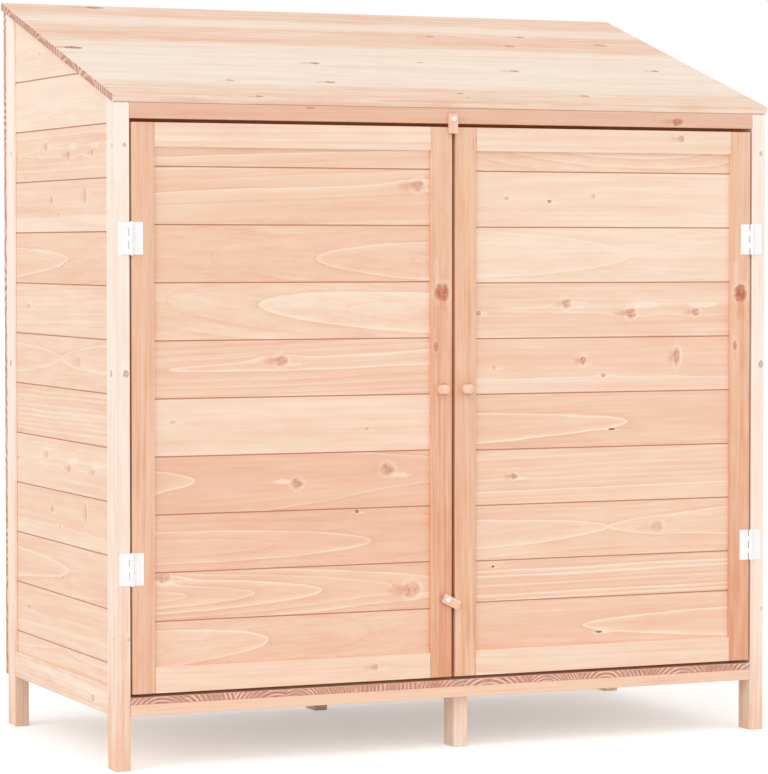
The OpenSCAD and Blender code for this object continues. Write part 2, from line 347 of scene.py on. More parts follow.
@dataclass(frozen=True)
class FirFinish(Finish):
    """Planed bare fir, coloured along one scale from its deepest to its palest wood.

    The figure is solid: rings round a log's heart, cut by whichever face of the stick shows. Its pale
    lines lift the wood by line, and the wood outside each is deeper by shade. The fibres' contrast is
    grain, the stain beside a knot is as strong as stain, and hollow makes a knot paler in its middle.
    """

    deep: str
    mid: str
    pale: str
    end_deep: str = "#B4715A"
    end_pale: str = "#F2CBB7"
    knot_rim: str = "#BE7C64"
    knot_core: str = "#EFBFA7"
    knot_tail: str = "#E0A17C"
    flush: str = "#F0B79E"
    honey: str = "#F1D3AE"
    # The colour of board edges inside a joint: painted shade of the recess.
    joint: str = "#CE8F70"
    speck: str = "#6B4230"
    line: float = 0.8
    shade: float = 0.16
    grain: float = 1.0
    stain: float = 0.8
    hollow: float = 0.0

    def mix(self, r: Recipe) -> None:
        """Adds the nodes.

        Args:
            r: The material's recipe.
        """
        # What Grain writes on the mesh.
        run, across, depth = r.parts("rings")
        knot_run, knot_across, knot_force = r.parts("knot")
        flare_run, flare_across, flare_force = r.parts("flare")
        tone, blush, slope = r.parts("tone")
        figure, wander, lesser = r.parts("figure")
        main, seed, kind = r.parts("mark")
        inner, size, bend = r.parts("cut")

        # Rings that bend round a knot. A line keeps its width where the rings meet the face at a slant.
        near = ((knot_run / 3.4) ** 2 + knot_across**2).root()
        swell = near.ease(2.2, 0.1) * bend
        wave = r.noise(r.join(run * 4.5, across * 0.3, depth * 0.3), 1.0)
        ripple = r.noise(r.join(run * 16, across * 1.2, depth * 1.2))
        straight = (across**2 + depth**2).root()
        side = kind.ease(1.4, 1.6)
        slant = (across**2 + (depth * slope) ** 2).root().most(depth * side)
        steep = (slant / straight).most(0.02)
        reach = straight + (wave * wander + ripple * 0.26 - swell) * steep
        ring, phase = reach.whole(), reach.part()
        force = (lesser * r.chance(ring + seed * 50) ** 2).most(ring.same(main))
        broad = size * 10 / steep**0.8
        within, beyond = (1 - phase) * broad, phase * broad
        inside = (ring - main).ease(0.75, 0.25)

        # Clouds, streaks and fibres, which have one size on every stick.
        wide, deep = across * size, depth * size
        drift = r.noise(r.join(run * 2.2, wide * 0.3, deep * 0.3), 1.0)
        mottle = r.noise(r.join(run * 15, wide * 0.8, deep * 0.8))
        streak = r.noise(r.join(run * 4, wide * 2.2, deep * 2.2), 3.0)
        fibre = r.noise(r.join(run * 18, wide * 9, deep * 9), 3.0)

        # Pale lines inside the rings, deeper wood beyond them, and the pale wood beside a knot.
        worn = within * (1.0 + streak * 1.6)
        crest = worn.ease(3.4, 0.6) ** 2 * 0.75 + worn.ease(9, 0.6) * 0.25
        line = crest * within.ease(0.05, 0.6) * force * (0.95 + mottle * 1.2)
        late = beyond.ease(6, 0)
        ragged = r.noise(r.join(knot_run * 1.5, knot_across * 1.5, seed * 9), 3.0)
        ball = (knot_run**2 + knot_across**2).root() + ragged * 0.9
        rim = ball.ease(0.95, 1.35) * ball.ease(1.9, 1.35) * knot_force
        flare = (flare_run**2 + flare_across**2).root() + ragged
        lift = (line * self.line - late * self.shade) * figure + inside * inner
        lift = lift + rim * 0.3 + flare.ease(1.0, 0.5) * flare_force

        # The place on the scale of colours, with pinker and yellower clouds.
        level = 0.5 + tone * 0.5 + lift + drift * 0.5
        level = level + (mottle * 0.3 + streak * 0.5 + fibre * 0.24) * self.grain
        wood = r.ramp(level, [(0.0, self.deep), (0.5, self.mid), (1.0, self.pale)])
        hue = r.noise(r.join(run * 3.5 + 7, wide * 0.5, deep * 0.5))
        wood = r.mix(blush + hue * 0.9, wood, linear(self.flush))
        wood = r.mix(hue * -1.1, wood, linear(self.honey))

        # The knot, with a stain on one side of it.
        tail = (((knot_run + 1.2) / 2.4) ** 2 + (knot_across * 1.2) ** 2).root() + ragged
        stained = tail.ease(1.25, 0.1) * knot_force * bend.ease(0.25, 0.6) * self.stain
        wood = r.mix(stained, wood, linear(self.knot_tail))
        core = ball.ease(1.15, 0.7) * knot_force
        speck = r.noise(r.join(knot_run * 2.6 + 3, knot_across * 2.6, seed * 9))
        grown = 0.5 + 1.5 * ragged + 1.3 * speck + 0.1 * (ball * 11).wave()
        grown = grown + self.hollow * ball.ease(0.85, 0.35)
        knot = r.ramp(grown, [(0.05, self.knot_rim), (0.85, self.knot_core)])
        wood = r.mix(core, wood, knot)
        wood = r.mix(core * (knot_force - 1) * 1.2, wood, linear(self.speck))

        # End grain, and painted shade on the edges of boards inside their joints.
        patch = r.noise(r.join(across * 0.16, depth * 0.16, seed * 7), 1.0)
        torn = r.noise(r.join(across * 0.9, depth * 0.9, seed * 5))
        bold = (0.6 + patch * 2.6 + torn * 1.6).most(0.06)
        sharp = phase.ease(0.3, 0.75) * phase.ease(0.998, 0.965)
        hatch = 0.5 + (sharp - 0.5) * bold + patch * 0.9 + fibre * 0.5
        cut = r.ramp(hatch, [(0.0, self.end_deep), (1.0, self.end_pale)])
        wood = r.mix(kind.same(Cut.END.value), wood, cut)
        # Painted shade: board edges inside a joint take the deeper joint colour.
        wood = r.mix(kind.same(Cut.JOINT.value), wood, linear(self.joint))

        # Raised lines and fibres, and sunken knots.
        height = line * 0.4 + fibre * 0.8 + streak * 0.5 - core * 0.6
        r.surface({
            "Base Color": wood,
            "Roughness": 0.66 + fibre * 0.2 - line * 0.08,
            "Specular IOR Level": 0.3,
            "Normal": r.bump(height, 0.25, mm(0.5)),
        })


@dataclass(frozen=True)
class MetalFinish(Finish):
    """Bright metal or enamel with a faint bloom and a fine rolled texture."""

    colour: str
    bloom: str
    metallic: float
    roughness: float

    def mix(self, r: Recipe) -> None:
        """Adds the nodes.

        Args:
            r: The material's recipe.
        """
        place = r.place()
        cloud = r.noise(place, 3.0, 160.0)
        across, deep, up = r.split(place)
        rolled = r.noise(r.join(across * 2600, deep * 2600, up * 260), 2.0)
        colour = r.mix((cloud * 2 + rolled).ease(-0.4, 0.7), linear(self.colour), linear(self.bloom))
        r.surface({
            "Base Color": colour,
            "Metallic": self.metallic,
            "Roughness": self.roughness + cloud * 0.2 + rolled * 0.12,
            "Normal": r.bump(rolled + cloud, 0.1, mm(0.2)),
        })


class Wood(Enum):
    """The fir finishes."""

    POST = FirFinish(
        "post_wood", "#F0C4A8", "#FAE3D1", "#FDF1E6", knot_rim="#7F5C4B", knot_core="#DDBCA8",
        honey="#F8E6CB", grain=2.2, stain=0.15, hollow=0.6,
    )
    STILE = FirFinish(
        "stile_wood", "#DF9D7A", "#EDBD9F", "#F5D0B5", knot_rim="#AE6047", knot_core="#DB9375",
        flush="#E6BBA7", honey="#EAC096", grain=2.2,
    )
    BOARD = FirFinish("board_wood", "#E9B294", "#F2CBB1", "#FBE5D1", grain=1.25)
    DECK = FirFinish(
        "deck_wood", "#EDC2A5", "#F7DFCB", "#FBEDE0", knot_rim="#96583E", knot_core="#DDA98A",
        honey="#F6E2C6", grain=2.4,
    )
    TURNED = FirFinish("turned_wood", "#F0BD9C", "#F9D3B8", "#FDE9D8", grain=2.4)


class Metal(Enum):
    """The metal finishes."""

    HINGE = MetalFinish("hinge_metal", "#FAF9F9", "#FEFDFE", 0.0, 0.42)
    SCREW = MetalFinish("screw_metal", "#F4F3F1", "#FCFBFA", 0.7, 0.3)


@dataclass(frozen=True)
class Knot:
    """A knot on a face, in millimetres from the stick's start and low edge.

    It is stretch times as long as it is wide, and its colour shows by force: past 1 it is a dark speck.
    Pale wood lies beside it: pale gives the steps along and across to its middle, half its length and half
    its width. Without it the patch is a small one of the usual kind.
    """

    along: float
    across: float
    radius: float
    force: float = 0.9
    stretch: float = 1.15
    pale: tuple[float, float, float, float] | None = None

    @property
    def patch(self) -> tuple[float, float, float, float]:
        """The pale wood's steps from the knot, half length and half width."""
        long = self.radius * self.stretch
        return self.pale or (2.4 * long, -0.8 * self.radius, 2.0 * long, 0.5 * self.radius)


@dataclass(frozen=True)
class Stick:
    """How a board or stick was sawn from its log, in millimetres from its start and low edge.

    The arches have their tip at tip, on a line that is heart above the low edge there and climbs by climb
    for each millimetre along. The log's heart lies some rings behind the face, and comes run rings nearer
    in a metre. More rings make blunter arches, and less run makes longer ones. The strongest line is the
    edge of ring main, or the one at the tip, and the lesser ones have up to lesser of its strength. The
    wood inside that line is paler by inner. The wood is deeper by foot at its start, and less so over the
    first span, and it grows paler by rise for each metre along. Its figure shows by figure, its lines
    wander by wander, and blush makes it pinker.
    """

    tip: float = 200
    points: Tip = Tip.ON
    heart: float = 38
    climb: float = 0.0
    rings: int = 4
    main: int = 0
    run: float = 3.5
    ring: float = 15
    tone: float = 0.0
    foot: float = 0.0
    span: float = 260
    rise: float = 0.0
    blush: float = 0.0
    figure: float = 1.0
    lesser: float = 0.5
    inner: float = 0.0
    wander: float = 0.7
    knots: tuple[Knot, ...] = ()

    def cell_ends(self) -> list[float]:
        """Places where the figure changes from one knot's to the next, or where two arches meet.

        Returns:
            The places, in metres from the start.
        """
        places = sorted(knot.along for knot in self.knots)
        ends = [mm(a + b) / 2 for a, b in zip(places, places[1:])]
        return ends + [mm(self.tip)] if self.points is Tip.BOTH else ends

    def knot_near(self, along: float) -> Knot | None:
        """The knot whose stretch of the stick holds a place along it.

        Args:
            along: The place, in metres from the start.

        Returns:
            The nearest knot, or nothing on a clear stick.
        """
        return min(self.knots, key=lambda knot: abs(mm(knot.along) - along), default=None)


@dataclass(frozen=True)
class Lie:
    """How a stick lies: the way its fibres run, the way across its face, and the way out of it."""

    along: Vector
    across: Vector
    out: Vector

    def start(self, piece: bpy.types.Object) -> tuple[float, float, float]:
        """Finds where a piece begins.

        Args:
            piece: The piece.

        Returns:
            Its start, low edge and face, measured along the three ways.
        """
        spots = np.array([v.co for v in piece.data.vertices])
        return (
            float((spots @ np.array(self.along)).min()),
            float((spots @ np.array(self.across)).min()),
            float((spots @ np.array(self.out)).max()),
        )


class Grain:
    """Writes a stick's figure on its mesh, for the fir finishes to read."""

    LAYERS = ("rings", "knot", "flare", "tone", "figure", "mark", "cut")
    # Where no knot reaches, in radii and with no force.
    FAR = (9.0, 9.0, 0.0)
    # How many radii behind the face a knot comes out on an edge.
    SUNK = 3.5
    # Where a stick that grows paler along its length has its own tone, in metres from the start.
    LEVEL = 0.45

    def __init__(self, piece: bpy.types.Object, lie: Lie, shaded_joint_edges: bool = False) -> None:
        """Takes a piece whose shape is finished.

        Args:
            piece: The piece.
            lie: How its fibres run.
            shaded_joint_edges: Whether its long edges lie inside joints, where they take painted shade.
        """
        self.shaded_joint_edges = shaded_joint_edges
        self.piece = piece
        self.lie = lie
        self.start = lie.start(piece)
        self.draw = random.Random(piece.name)

    def lay(self, stick: Stick) -> None:
        """Gives the whole piece one stick's figure."""
        self.lay_by(lambda centre: stick)

    def lay_by(self, stick_at: Callable[[Vector], Stick]) -> None:
        """Gives each face the figure of the stick that it belongs to.

        Args:
            stick_at: Tells the stick from a face's centre.
        """
        mesh = self.piece.data
        values = {layer: np.zeros((len(mesh.loops), 3), np.float32) for layer in self.LAYERS}
        shifts: dict[Stick, tuple[float, float]] = {}
        for face in mesh.polygons:
            stick = stick_at(face.center)
            if stick not in shifts:
                shifts[stick] = (self.draw.uniform(2, 40), self.draw.uniform(0.05, 0.95))
            for corner in face.loop_indices:
                spot = mesh.vertices[mesh.loops[corner].vertex_index].co
                for layer, value in zip(self.LAYERS, self._read(stick, face, spot, shifts[stick])):
                    values[layer][corner] = value
        for layer, value in values.items():
            made = mesh.attributes.new(layer, "FLOAT_VECTOR", "CORNER")
            made.data.foreach_set("vector", value.ravel())

    def tint(self, tone_at: Callable[[Vector], float]) -> None:
        """Gives a piece whose figure is laid its own tones.

        Args:
            tone_at: Tells the tone from a place.
        """
        mesh = self.piece.data
        for corner, written in zip(mesh.loops, mesh.attributes["tone"].data):
            written.vector.x = tone_at(mesh.vertices[corner.vertex_index].co)

    def _cut(self, face: bpy.types.MeshPolygon) -> Cut:
        """How a face was cut, told from the way that it looks.

        Args:
            face: The face.

        Returns:
            The cut.
        """
        if abs(face.normal.dot(self.lie.along)) > SQUARE:
            return Cut.END
        if abs(face.normal.dot(self.lie.across)) > SQUARE:
            return Cut.JOINT if self.shaded_joint_edges else Cut.EDGE
        return Cut.FACE

    def _read(
        self, stick: Stick, face: bpy.types.MeshPolygon, spot: Vector, shift: tuple[float, float]
    ) -> tuple[tuple[float, float, float], ...]:
        """The layers at one corner of a face.

        Args:
            stick: The stick that the face belongs to.
            face: The face.
            spot: The corner's place.
            shift: The stick's own offset along the fibres, and its seed.

        Returns:
            A triple for each layer.
        """
        lie, (start, low, front) = self.lie, self.start
        along = spot.dot(lie.along) - start
        across = spot.dot(lie.across) - low
        out = spot.dot(lie.out) - front
        past = along - mm(stick.tip)
        middle = face.center.dot(lie.along) - start
        way = stick.points.value or (1 if middle < mm(stick.tip) else -1)
        rings = (
            along + shift[0],
            (across - mm(stick.heart) - stick.climb * past) / mm(stick.ring),
            stick.rings + way * stick.run * past + out / mm(stick.ring),
        )
        kind = self._cut(face)
        knot = None if kind is Cut.END else stick.knot_near(middle)
        beside = flare = self.FAR
        bend = 0.0
        if knot:
            aside = across - mm(knot.across) if kind is Cut.FACE else out + mm(knot.radius) * self.SUNK
            beside = (
                (along - mm(knot.along)) / mm(knot.radius * knot.stretch),
                aside / mm(knot.radius),
                knot.force,
            )
            step_along, step_across, length, width = knot.patch
            flare = (
                (along - mm(knot.along + step_along)) / mm(length),
                (aside - mm(step_across)) / mm(width),
                knot.force * (0.7 if knot.pale else 0.35),
            )
            bend = knot.radius / stick.ring
        depth = stick.foot * max(0.0, 1 - along / mm(stick.span))
        tone = stick.tone - depth + stick.rise * (along - self.LEVEL)
        return (
            rings,
            beside,
            flare,
            (tone, stick.blush, stick.run * mm(stick.ring)),
            (stick.figure, stick.wander, stick.lesser),
            ((stick.main or stick.rings) - 1, shift[1], kind.value),
            (stick.inner, stick.ring / 10, bend),
        )


class Bench:
    """Blender's modelling tools, used on one piece at a time."""

    @staticmethod
    def block(
        name: str, low: Vector, high: Vector, turn: tuple[float, float, float] = (0, 0, 0)
    ) -> bpy.types.Object:
        """Adds a block between two corners.

        Args:
            name: The piece's name.
            low: Its lowest corner.
            high: Its highest corner.
            turn: Angles about X, Y and Z through its middle, in radians.

        Returns:
            The block.
        """
        bpy.ops.object.select_all(action="DESELECT")
        bpy.ops.mesh.primitive_cube_add(
            size=1, location=(low + high) / 2, rotation=turn, scale=high - low
        )
        return Bench.own(name)

    @staticmethod
    def drum(name: str, centre: Vector, radius: float, height: float, sides: int = 48) -> bpy.types.Object:
        """Adds a drum whose axis runs along Y.

        Args:
            name: The piece's name.
            centre: Its middle.
            radius: Its radius.
            height: Its length along Y.
            sides: The number of its sides.

        Returns:
            The drum.
        """
        bpy.ops.object.select_all(action="DESELECT")
        bpy.ops.mesh.primitive_cylinder_add(
            vertices=sides, radius=radius, depth=height, location=centre, rotation=(math.pi / 2, 0, 0)
        )
        return Bench.own(name)

    @staticmethod
    def own(name: str) -> bpy.types.Object:
        """Names the new piece and puts its place in its mesh.

        Args:
            name: The name.

        Returns:
            The piece.
        """
        piece = bpy.context.object
        piece.name = piece.data.name = name
        bpy.ops.object.transform_apply(location=True, rotation=True, scale=True)
        return piece

    @staticmethod
    def hold(piece: bpy.types.Object) -> None:
        """Makes a piece the one that the tools act on.

        Args:
            piece: The piece.
        """
        bpy.ops.object.select_all(action="DESELECT")
        bpy.context.view_layer.objects.active = piece
        piece.select_set(True)

    @staticmethod
    def score(piece: bpy.types.Object, point: Vector, normal: Vector) -> None:
        """Draws a line round a piece where a plane meets it."""
        Bench._bisect(piece, point, normal, False)

    @staticmethod
    def cut(piece: bpy.types.Object, point: Vector, normal: Vector) -> None:
        """Saws off what lies past a plane, on the side that its normal points to."""
        Bench._bisect(piece, point, normal, True)

    @staticmethod
    def _bisect(piece: bpy.types.Object, point: Vector, normal: Vector, off: bool) -> None:
        """Splits a piece along a plane.

        Args:
            piece: The piece.
            point: A point of the plane.
            normal: The way that the plane faces.
            off: Whether the part on that side comes off.
        """
        Bench.pick(piece, lambda centre, way: True)
        bpy.ops.mesh.bisect(plane_co=point, plane_no=normal, use_fill=off, clear_outer=off)
        bpy.ops.object.mode_set(mode="OBJECT")

    @staticmethod
    def pick(piece: bpy.types.Object, wanted: Callable[[Vector, Vector], bool]) -> None:
        """Opens a piece for editing with some of its faces selected.

        Args:
            piece: The piece.
            wanted: Tells from a face's centre and normal whether it is selected.
        """
        Bench.hold(piece)
        bpy.context.tool_settings.mesh_select_mode = (False, False, True)
        mesh = piece.data
        for layer in (mesh.vertices, mesh.edges):
            layer.foreach_set("select", np.zeros(len(layer), bool))
        for face in mesh.polygons:
            face.select = wanted(face.center, face.normal)
        bpy.ops.object.mode_set(mode="EDIT")

    @staticmethod
    def push(piece: bpy.types.Object, wanted: Callable[[Vector, Vector], bool], way: Vector) -> None:
        """Extrudes some faces, outwards or into the piece.

        Args:
            piece: The piece.
            wanted: Tells from a face's centre and normal whether it moves.
            way: How far and which way.
        """
        Bench.pick(piece, wanted)
        bpy.ops.mesh.extrude_region_move(TRANSFORM_OT_translate={"value": way})
        bpy.ops.object.mode_set(mode="OBJECT")

    @staticmethod
    def turn_ring(piece: bpy.types.Object, face_y: float, reach: float, share: float) -> None:
        """Draws the front cap of a drum out along -Y and changes its width, as a lathe does.

        Args:
            piece: The drum.
            face_y: Where its front cap lies now.
            reach: How far the cap goes.
            share: The new width as a share of the old.
        """
        spots = np.array([v.co for v in piece.data.vertices])
        middle = Vector((float(spots[:, 0].mean()), face_y - reach, float(spots[:, 2].mean())))
        Bench.pick(piece, lambda centre, way: way.y < -SQUARE and abs(centre.y - face_y) < mm(0.01))
        bpy.ops.mesh.extrude_region_move(TRANSFORM_OT_translate={"value": (0, -reach, 0)})
        bpy.ops.transform.resize(value=(share, 1, share), center_override=middle)
        bpy.ops.object.mode_set(mode="OBJECT")

    @staticmethod
    def turned(
        name: str, centre: Vector, back: float, radius: float, profile: Sequence[tuple[float, float]]
    ) -> bpy.types.Object:
        """Turns a round piece whose axis runs along Y.

        Args:
            name: Its name.
            centre: A point on its axis, where the profile's distances start.
            back: How far it goes behind that point.
            radius: Its radius there.
            profile: Distances in front of the point and radii, from back to front.

        Returns:
            The piece, shaded smooth but for its sharp edges.
        """
        piece = Bench.drum(name, centre + Y * back / 2, radius, back)
        place, wide = centre.y, radius
        for reach, next_wide in profile:
            Bench.turn_ring(piece, place, place - (centre.y - reach), next_wide / wide)
            place, wide = centre.y - reach, next_wide
        bpy.ops.object.shade_smooth_by_angle(angle=math.radians(35))
        return piece

    @staticmethod
    def ease(piece: bpy.types.Object, width: float, segments: int = 2) -> None:
        """Takes the sharpness off a piece's edges.

        Args:
            piece: The piece.
            width: The width of the rounding.
            segments: The number of its faces.
        """
        bevel = piece.modifiers.new("eased edges", "BEVEL")
        bevel.width = width
        bevel.segments = segments
        bevel.limit_method = "ANGLE"
        bevel.angle_limit = math.radians(25)
        Bench.apply(piece, bevel)

    @staticmethod
    def apply(piece: bpy.types.Object, modifier: bpy.types.Modifier) -> None:
        """Applies a modifier to its piece."""
        Bench.hold(piece)
        bpy.ops.object.modifier_apply(modifier=modifier.name)

    @staticmethod
    def subtract(piece: bpy.types.Object, cutter: bpy.types.Object) -> None:
        """Cuts one piece's shape out of another.

        Args:
            piece: The piece that is cut.
            cutter: The shape that is taken out, which goes away.
        """
        hole = piece.modifiers.new("cut", "BOOLEAN")
        hole.operation = "DIFFERENCE"
        hole.solver = "EXACT"
        hole.object = cutter
        hole.use_self = True
        Bench.apply(piece, hole)
        bpy.data.objects.remove(cutter)

    @staticmethod
    def copy(piece: bpy.types.Object, name: str, way: Vector) -> bpy.types.Object:
        """Copies a piece with its mesh.

        Args:
            piece: The piece.
            name: The copy's name.
            way: How far and which way the copy moves.

        Returns:
            The copy.
        """
        Bench.hold(piece)
        bpy.ops.object.duplicate(linked=False)
        bpy.ops.transform.translate(value=way)
        return Bench.own(name)

    @staticmethod
    def join(pieces: Sequence[bpy.types.Object], name: str) -> bpy.types.Object:
        """Joins several pieces.

        Args:
            pieces: The pieces.
            name: The name of the whole.

        Returns:
            The whole.
        """
        bpy.ops.object.select_all(action="DESELECT")
        for piece in pieces:
            piece.select_set(True)
        bpy.context.view_layer.objects.active = pieces[0]
        bpy.ops.object.join()
        pieces[0].name = pieces[0].data.name = name
        return pieces[0]


def deliver(piece: bpy.types.Object, finish: Wood | Metal, body: str, *nodes: str) -> None:
    """Gives a finished piece its slot's material and its body, in place of its CAD nodes.

    Args:
        piece: The piece.
        finish: Its finish.
        body: The CAD body that it rides on.
        nodes: The CAD nodes that it stands for.
    """
    piece.data.materials.clear()
    piece.data.materials.append(finish.value.material())
    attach(piece, body)
    if nodes:
        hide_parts(*nodes)
    log.info("%s: %d faces, on %s", piece.name, len(piece.data.polygons), body)


def score_knots(piece: bpy.types.Object, lie: Lie, stick: Stick) -> None:
    """Splits a piece between its knots, so that each has a stretch of its own.

    Args:
        piece: The piece.
        lie: How its fibres run.
        stick: Its figure.
    """
    start = lie.start(piece)[0]
    for end in stick.cell_ends():
        Bench.score(piece, lie.along * (start + end), lie.along)


def finish_stick(
    piece: bpy.types.Object, lie: Lie, stick: Stick, finish: Wood, eased: float, body: str, node: str
) -> None:
    """Eases a stick's edges, lays its grain and delivers it.

    Args:
        piece: The stick, in its shape.
        lie: How its fibres run.
        stick: Its figure.
        finish: Its finish.
        eased: The rounding of its edges.
        body: The CAD body that it rides on.
        node: The CAD node that it stands for.
    """
    score_knots(piece, lie, stick)
    Bench.ease(piece, eased)
    Grain(piece, lie).lay(stick)
    deliver(piece, finish, body, node)


@dataclass(frozen=True)
class RoofPlane:
    """The slope that the frame's tops share."""

    slope: float

    @classmethod
    def of_frame(cls) -> "RoofPlane":
        """Reads the slope off the tops of the front and rear posts."""
        front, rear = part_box("front_post_left")[1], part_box("rear_post_left")[1]
        return cls(math.atan2(rear.z - front.z, rear.y - front.y))

    @property
    def up(self) -> Vector:
        """The way out of the slope."""
        return Vector((0, -math.sin(self.slope), math.cos(self.slope)))

    @property
    def climb(self) -> Vector:
        """The way up the slope."""
        return Vector((0, math.cos(self.slope), math.sin(self.slope)))

    def trim(self, piece: bpy.types.Object, high: Vector) -> None:
        """Saws a piece's top to the slope that passes through its highest corner."""
        Bench.cut(piece, high, self.up)


# Level and upright sticks that face the front.
FRONT = Lie(X, Z, -Y)
UPRIGHT = Lie(Z, X, -Y)


@dataclass
class Frame:
    """Posts, legs and rails of the body."""

    eased: float = mm(1.0)
    seat_gap: float = mm(1)
    spare: float = mm(20)

    def build(self, roof: RoofPlane) -> None:
        """Builds every stick of the frame.

        Args:
            roof: The slope over the posts.
        """
        for side in Side:
            self.post(f"front_post_{side.value}", side, 1, roof)
            self.post(f"rear_post_{side.value}", side, -1, roof)
            self.bottom_rail(side)
            self.batten(side, roof)
        self.header(roof)
        # The legs' raised tone is partly painted light, lifting the shade under the shed.
        leg = Stick(tip=60, heart=50, ring=8, rings=5, run=1, tone=-0.1, blush=0.05, figure=0.5)
        self.plain("front_centre_leg", UPRIGHT, leg, Wood.POST)
        self.plain("rear_centre_leg", UPRIGHT, leg, Wood.POST)
        # The floor rails' high tone is partly painted light, lifting the shade near the ground.
        rail = Stick(tip=300, heart=40, ring=7, rings=5, run=0.6, tone=1.0, figure=0.5)
        self.plain("front_floor_rail", FRONT, rail, Wood.STILE)
        self.plain("rear_floor_rail", FRONT, rail, Wood.STILE)
        self.plain("centre_joist", Lie(Y, X, Z), Stick(heart=6, ring=9, tone=-0.3), Wood.POST)

    def post(self, node: str, side: Side, inward: int, roof: RoofPlane) -> None:
        """A corner post, grooved for the side wall's boards and sawn to the roof.

        Args:
            node: The CAD node that it stands for.
            side: Its side.
            inward: The direction of its grooved face along Y.
            roof: The slope of its top.
        """
        low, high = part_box(node)
        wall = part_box(f"{side.value}_wall_boards")
        rail_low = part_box(f"{side.value}_bottom_rail")[0].z
        foot = 0.75 if inward > 0 else 0.4
        stick = Stick(
            tip=420, heart=60, climb=0.01, ring=9, rings=4, run=0.8, tone=0.3, foot=foot, span=140,
            rise=1.2, figure=0.35, wander=0.5,
            knots=(Knot(181, 19, 2.5, 0.6), Knot(545, 16, 4.4, 1.0), Knot(857, 14.5, 2.8, 0.9)),
        )
        piece = Bench.block(f"planed_{node}", low, high + Z * self.spare)
        for x in (wall[0].x, wall[1].x):
            Bench.score(piece, X * x, X)
        Bench.score(piece, Z * rail_low, Z)
        Bench.score(piece, Z * mm(stick.span), Z)
        face = high.y if inward > 0 else low.y
        end = wall[0].y if inward > 0 else wall[1].y
        depth = abs(face - end) + self.seat_gap
        Bench.push(
            piece,
            lambda c, n: n.y * inward > SQUARE and wall[0].x < c.x < wall[1].x and c.z > rail_low,
            -Y * inward * depth,
        )
        roof.trim(piece, high)
        self.finish(piece, UPRIGHT, stick, Wood.POST, node)

    def bottom_rail(self, side: Side) -> None:
        """The bottom rail of a side wall, grooved on top and tongued at its ends.

        Args:
            side: The wall's side.
        """
        node = f"{side.value}_bottom_rail"
        low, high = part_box(node)
        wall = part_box(f"{side.value}_wall_boards")
        front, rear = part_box(f"front_post_{side.value}")[1].y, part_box(f"rear_post_{side.value}")[0].y
        piece = Bench.block(f"planed_{node}", low - Y * self.spare, high + Y * self.spare)

        def is_core(centre: Vector) -> bool:
            """Whether a place lies as deep in the rail as the wall's boards do."""
            return wall[0].x < centre.x < wall[1].x

        for x in (wall[0].x, wall[1].x):
            Bench.score(piece, X * x, X)
        sink = wall[0].z - high.z - self.seat_gap
        Bench.push(piece, lambda c, n: n.z > SQUARE and is_core(c), Z * sink)
        Bench.cut(piece, Y * front, -Y)
        Bench.cut(piece, Y * rear, Y)
        for x in (wall[0].x, wall[1].x):
            Bench.score(piece, X * x, X)
        Bench.push(piece, lambda c, n: n.y < -SQUARE and is_core(c), Y * (low.y - front))
        Bench.push(piece, lambda c, n: n.y > SQUARE and is_core(c), Y * (high.y - rear))
        lie = Lie(Y * side.sign, Z, X * side.sign)
        stick = Stick(tip=150, heart=70, ring=6, run=0.6, tone=-0.35, figure=0.5, knots=(Knot(378, 15, 5),))
        self.finish(piece, lie, stick, Wood.POST, node)

    def batten(self, side: Side, roof: RoofPlane) -> None:
        """The batten under one end of the roof.

        Args:
            side: The end.
            roof: The slope that it follows.
        """
        node = f"{side.value}_roof_batten"
        low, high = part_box(node)
        piece = Bench.block(f"planed_{node}", low - Z * self.spare, high + Z * self.spare)
        Bench.cut(piece, high, roof.up)
        Bench.cut(piece, low, -roof.up)
        self.finish(piece, Lie(roof.climb, X, roof.up), Stick(heart=5, ring=9, tone=-0.2), Wood.POST, node)

    def header(self, roof: RoofPlane) -> None:
        """The rail over the doors.

        Args:
            roof: The slope of its top.
        """
        low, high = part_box("header_rail")
        piece = Bench.block("planed_header_rail", low, high + Z * self.spare)
        roof.trim(piece, high)
        stick = Stick(
            tip=500, heart=60, climb=0.012, ring=6, rings=3, run=0.5, tone=-0.1, blush=0.55, figure=0.5,
            knots=(Knot(266, 18.5, 1.6, 0.8, 5.0), Knot(845, 8, 6, 1.0, 1.4)),
        )
        self.finish(piece, FRONT, stick, Wood.STILE, "header_rail")

    def plain(self, node: str, lie: Lie, stick: Stick, finish: Wood) -> None:
        """A plain squared stick.

        Args:
            node: The CAD node that it stands for.
            lie: How its fibres run.
            stick: Its figure.
            finish: Its finish.
        """
        low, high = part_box(node)
        self.finish(Bench.block(f"planed_{node}", low, high), lie, stick, finish, node)

    def finish(self, piece: bpy.types.Object, lie: Lie, stick: Stick, finish: Wood, node: str) -> None:
        """Finishes a stick and delivers it on the shed's body."""
        finish_stick(piece, lie, stick, finish, self.eased, "shed", node)


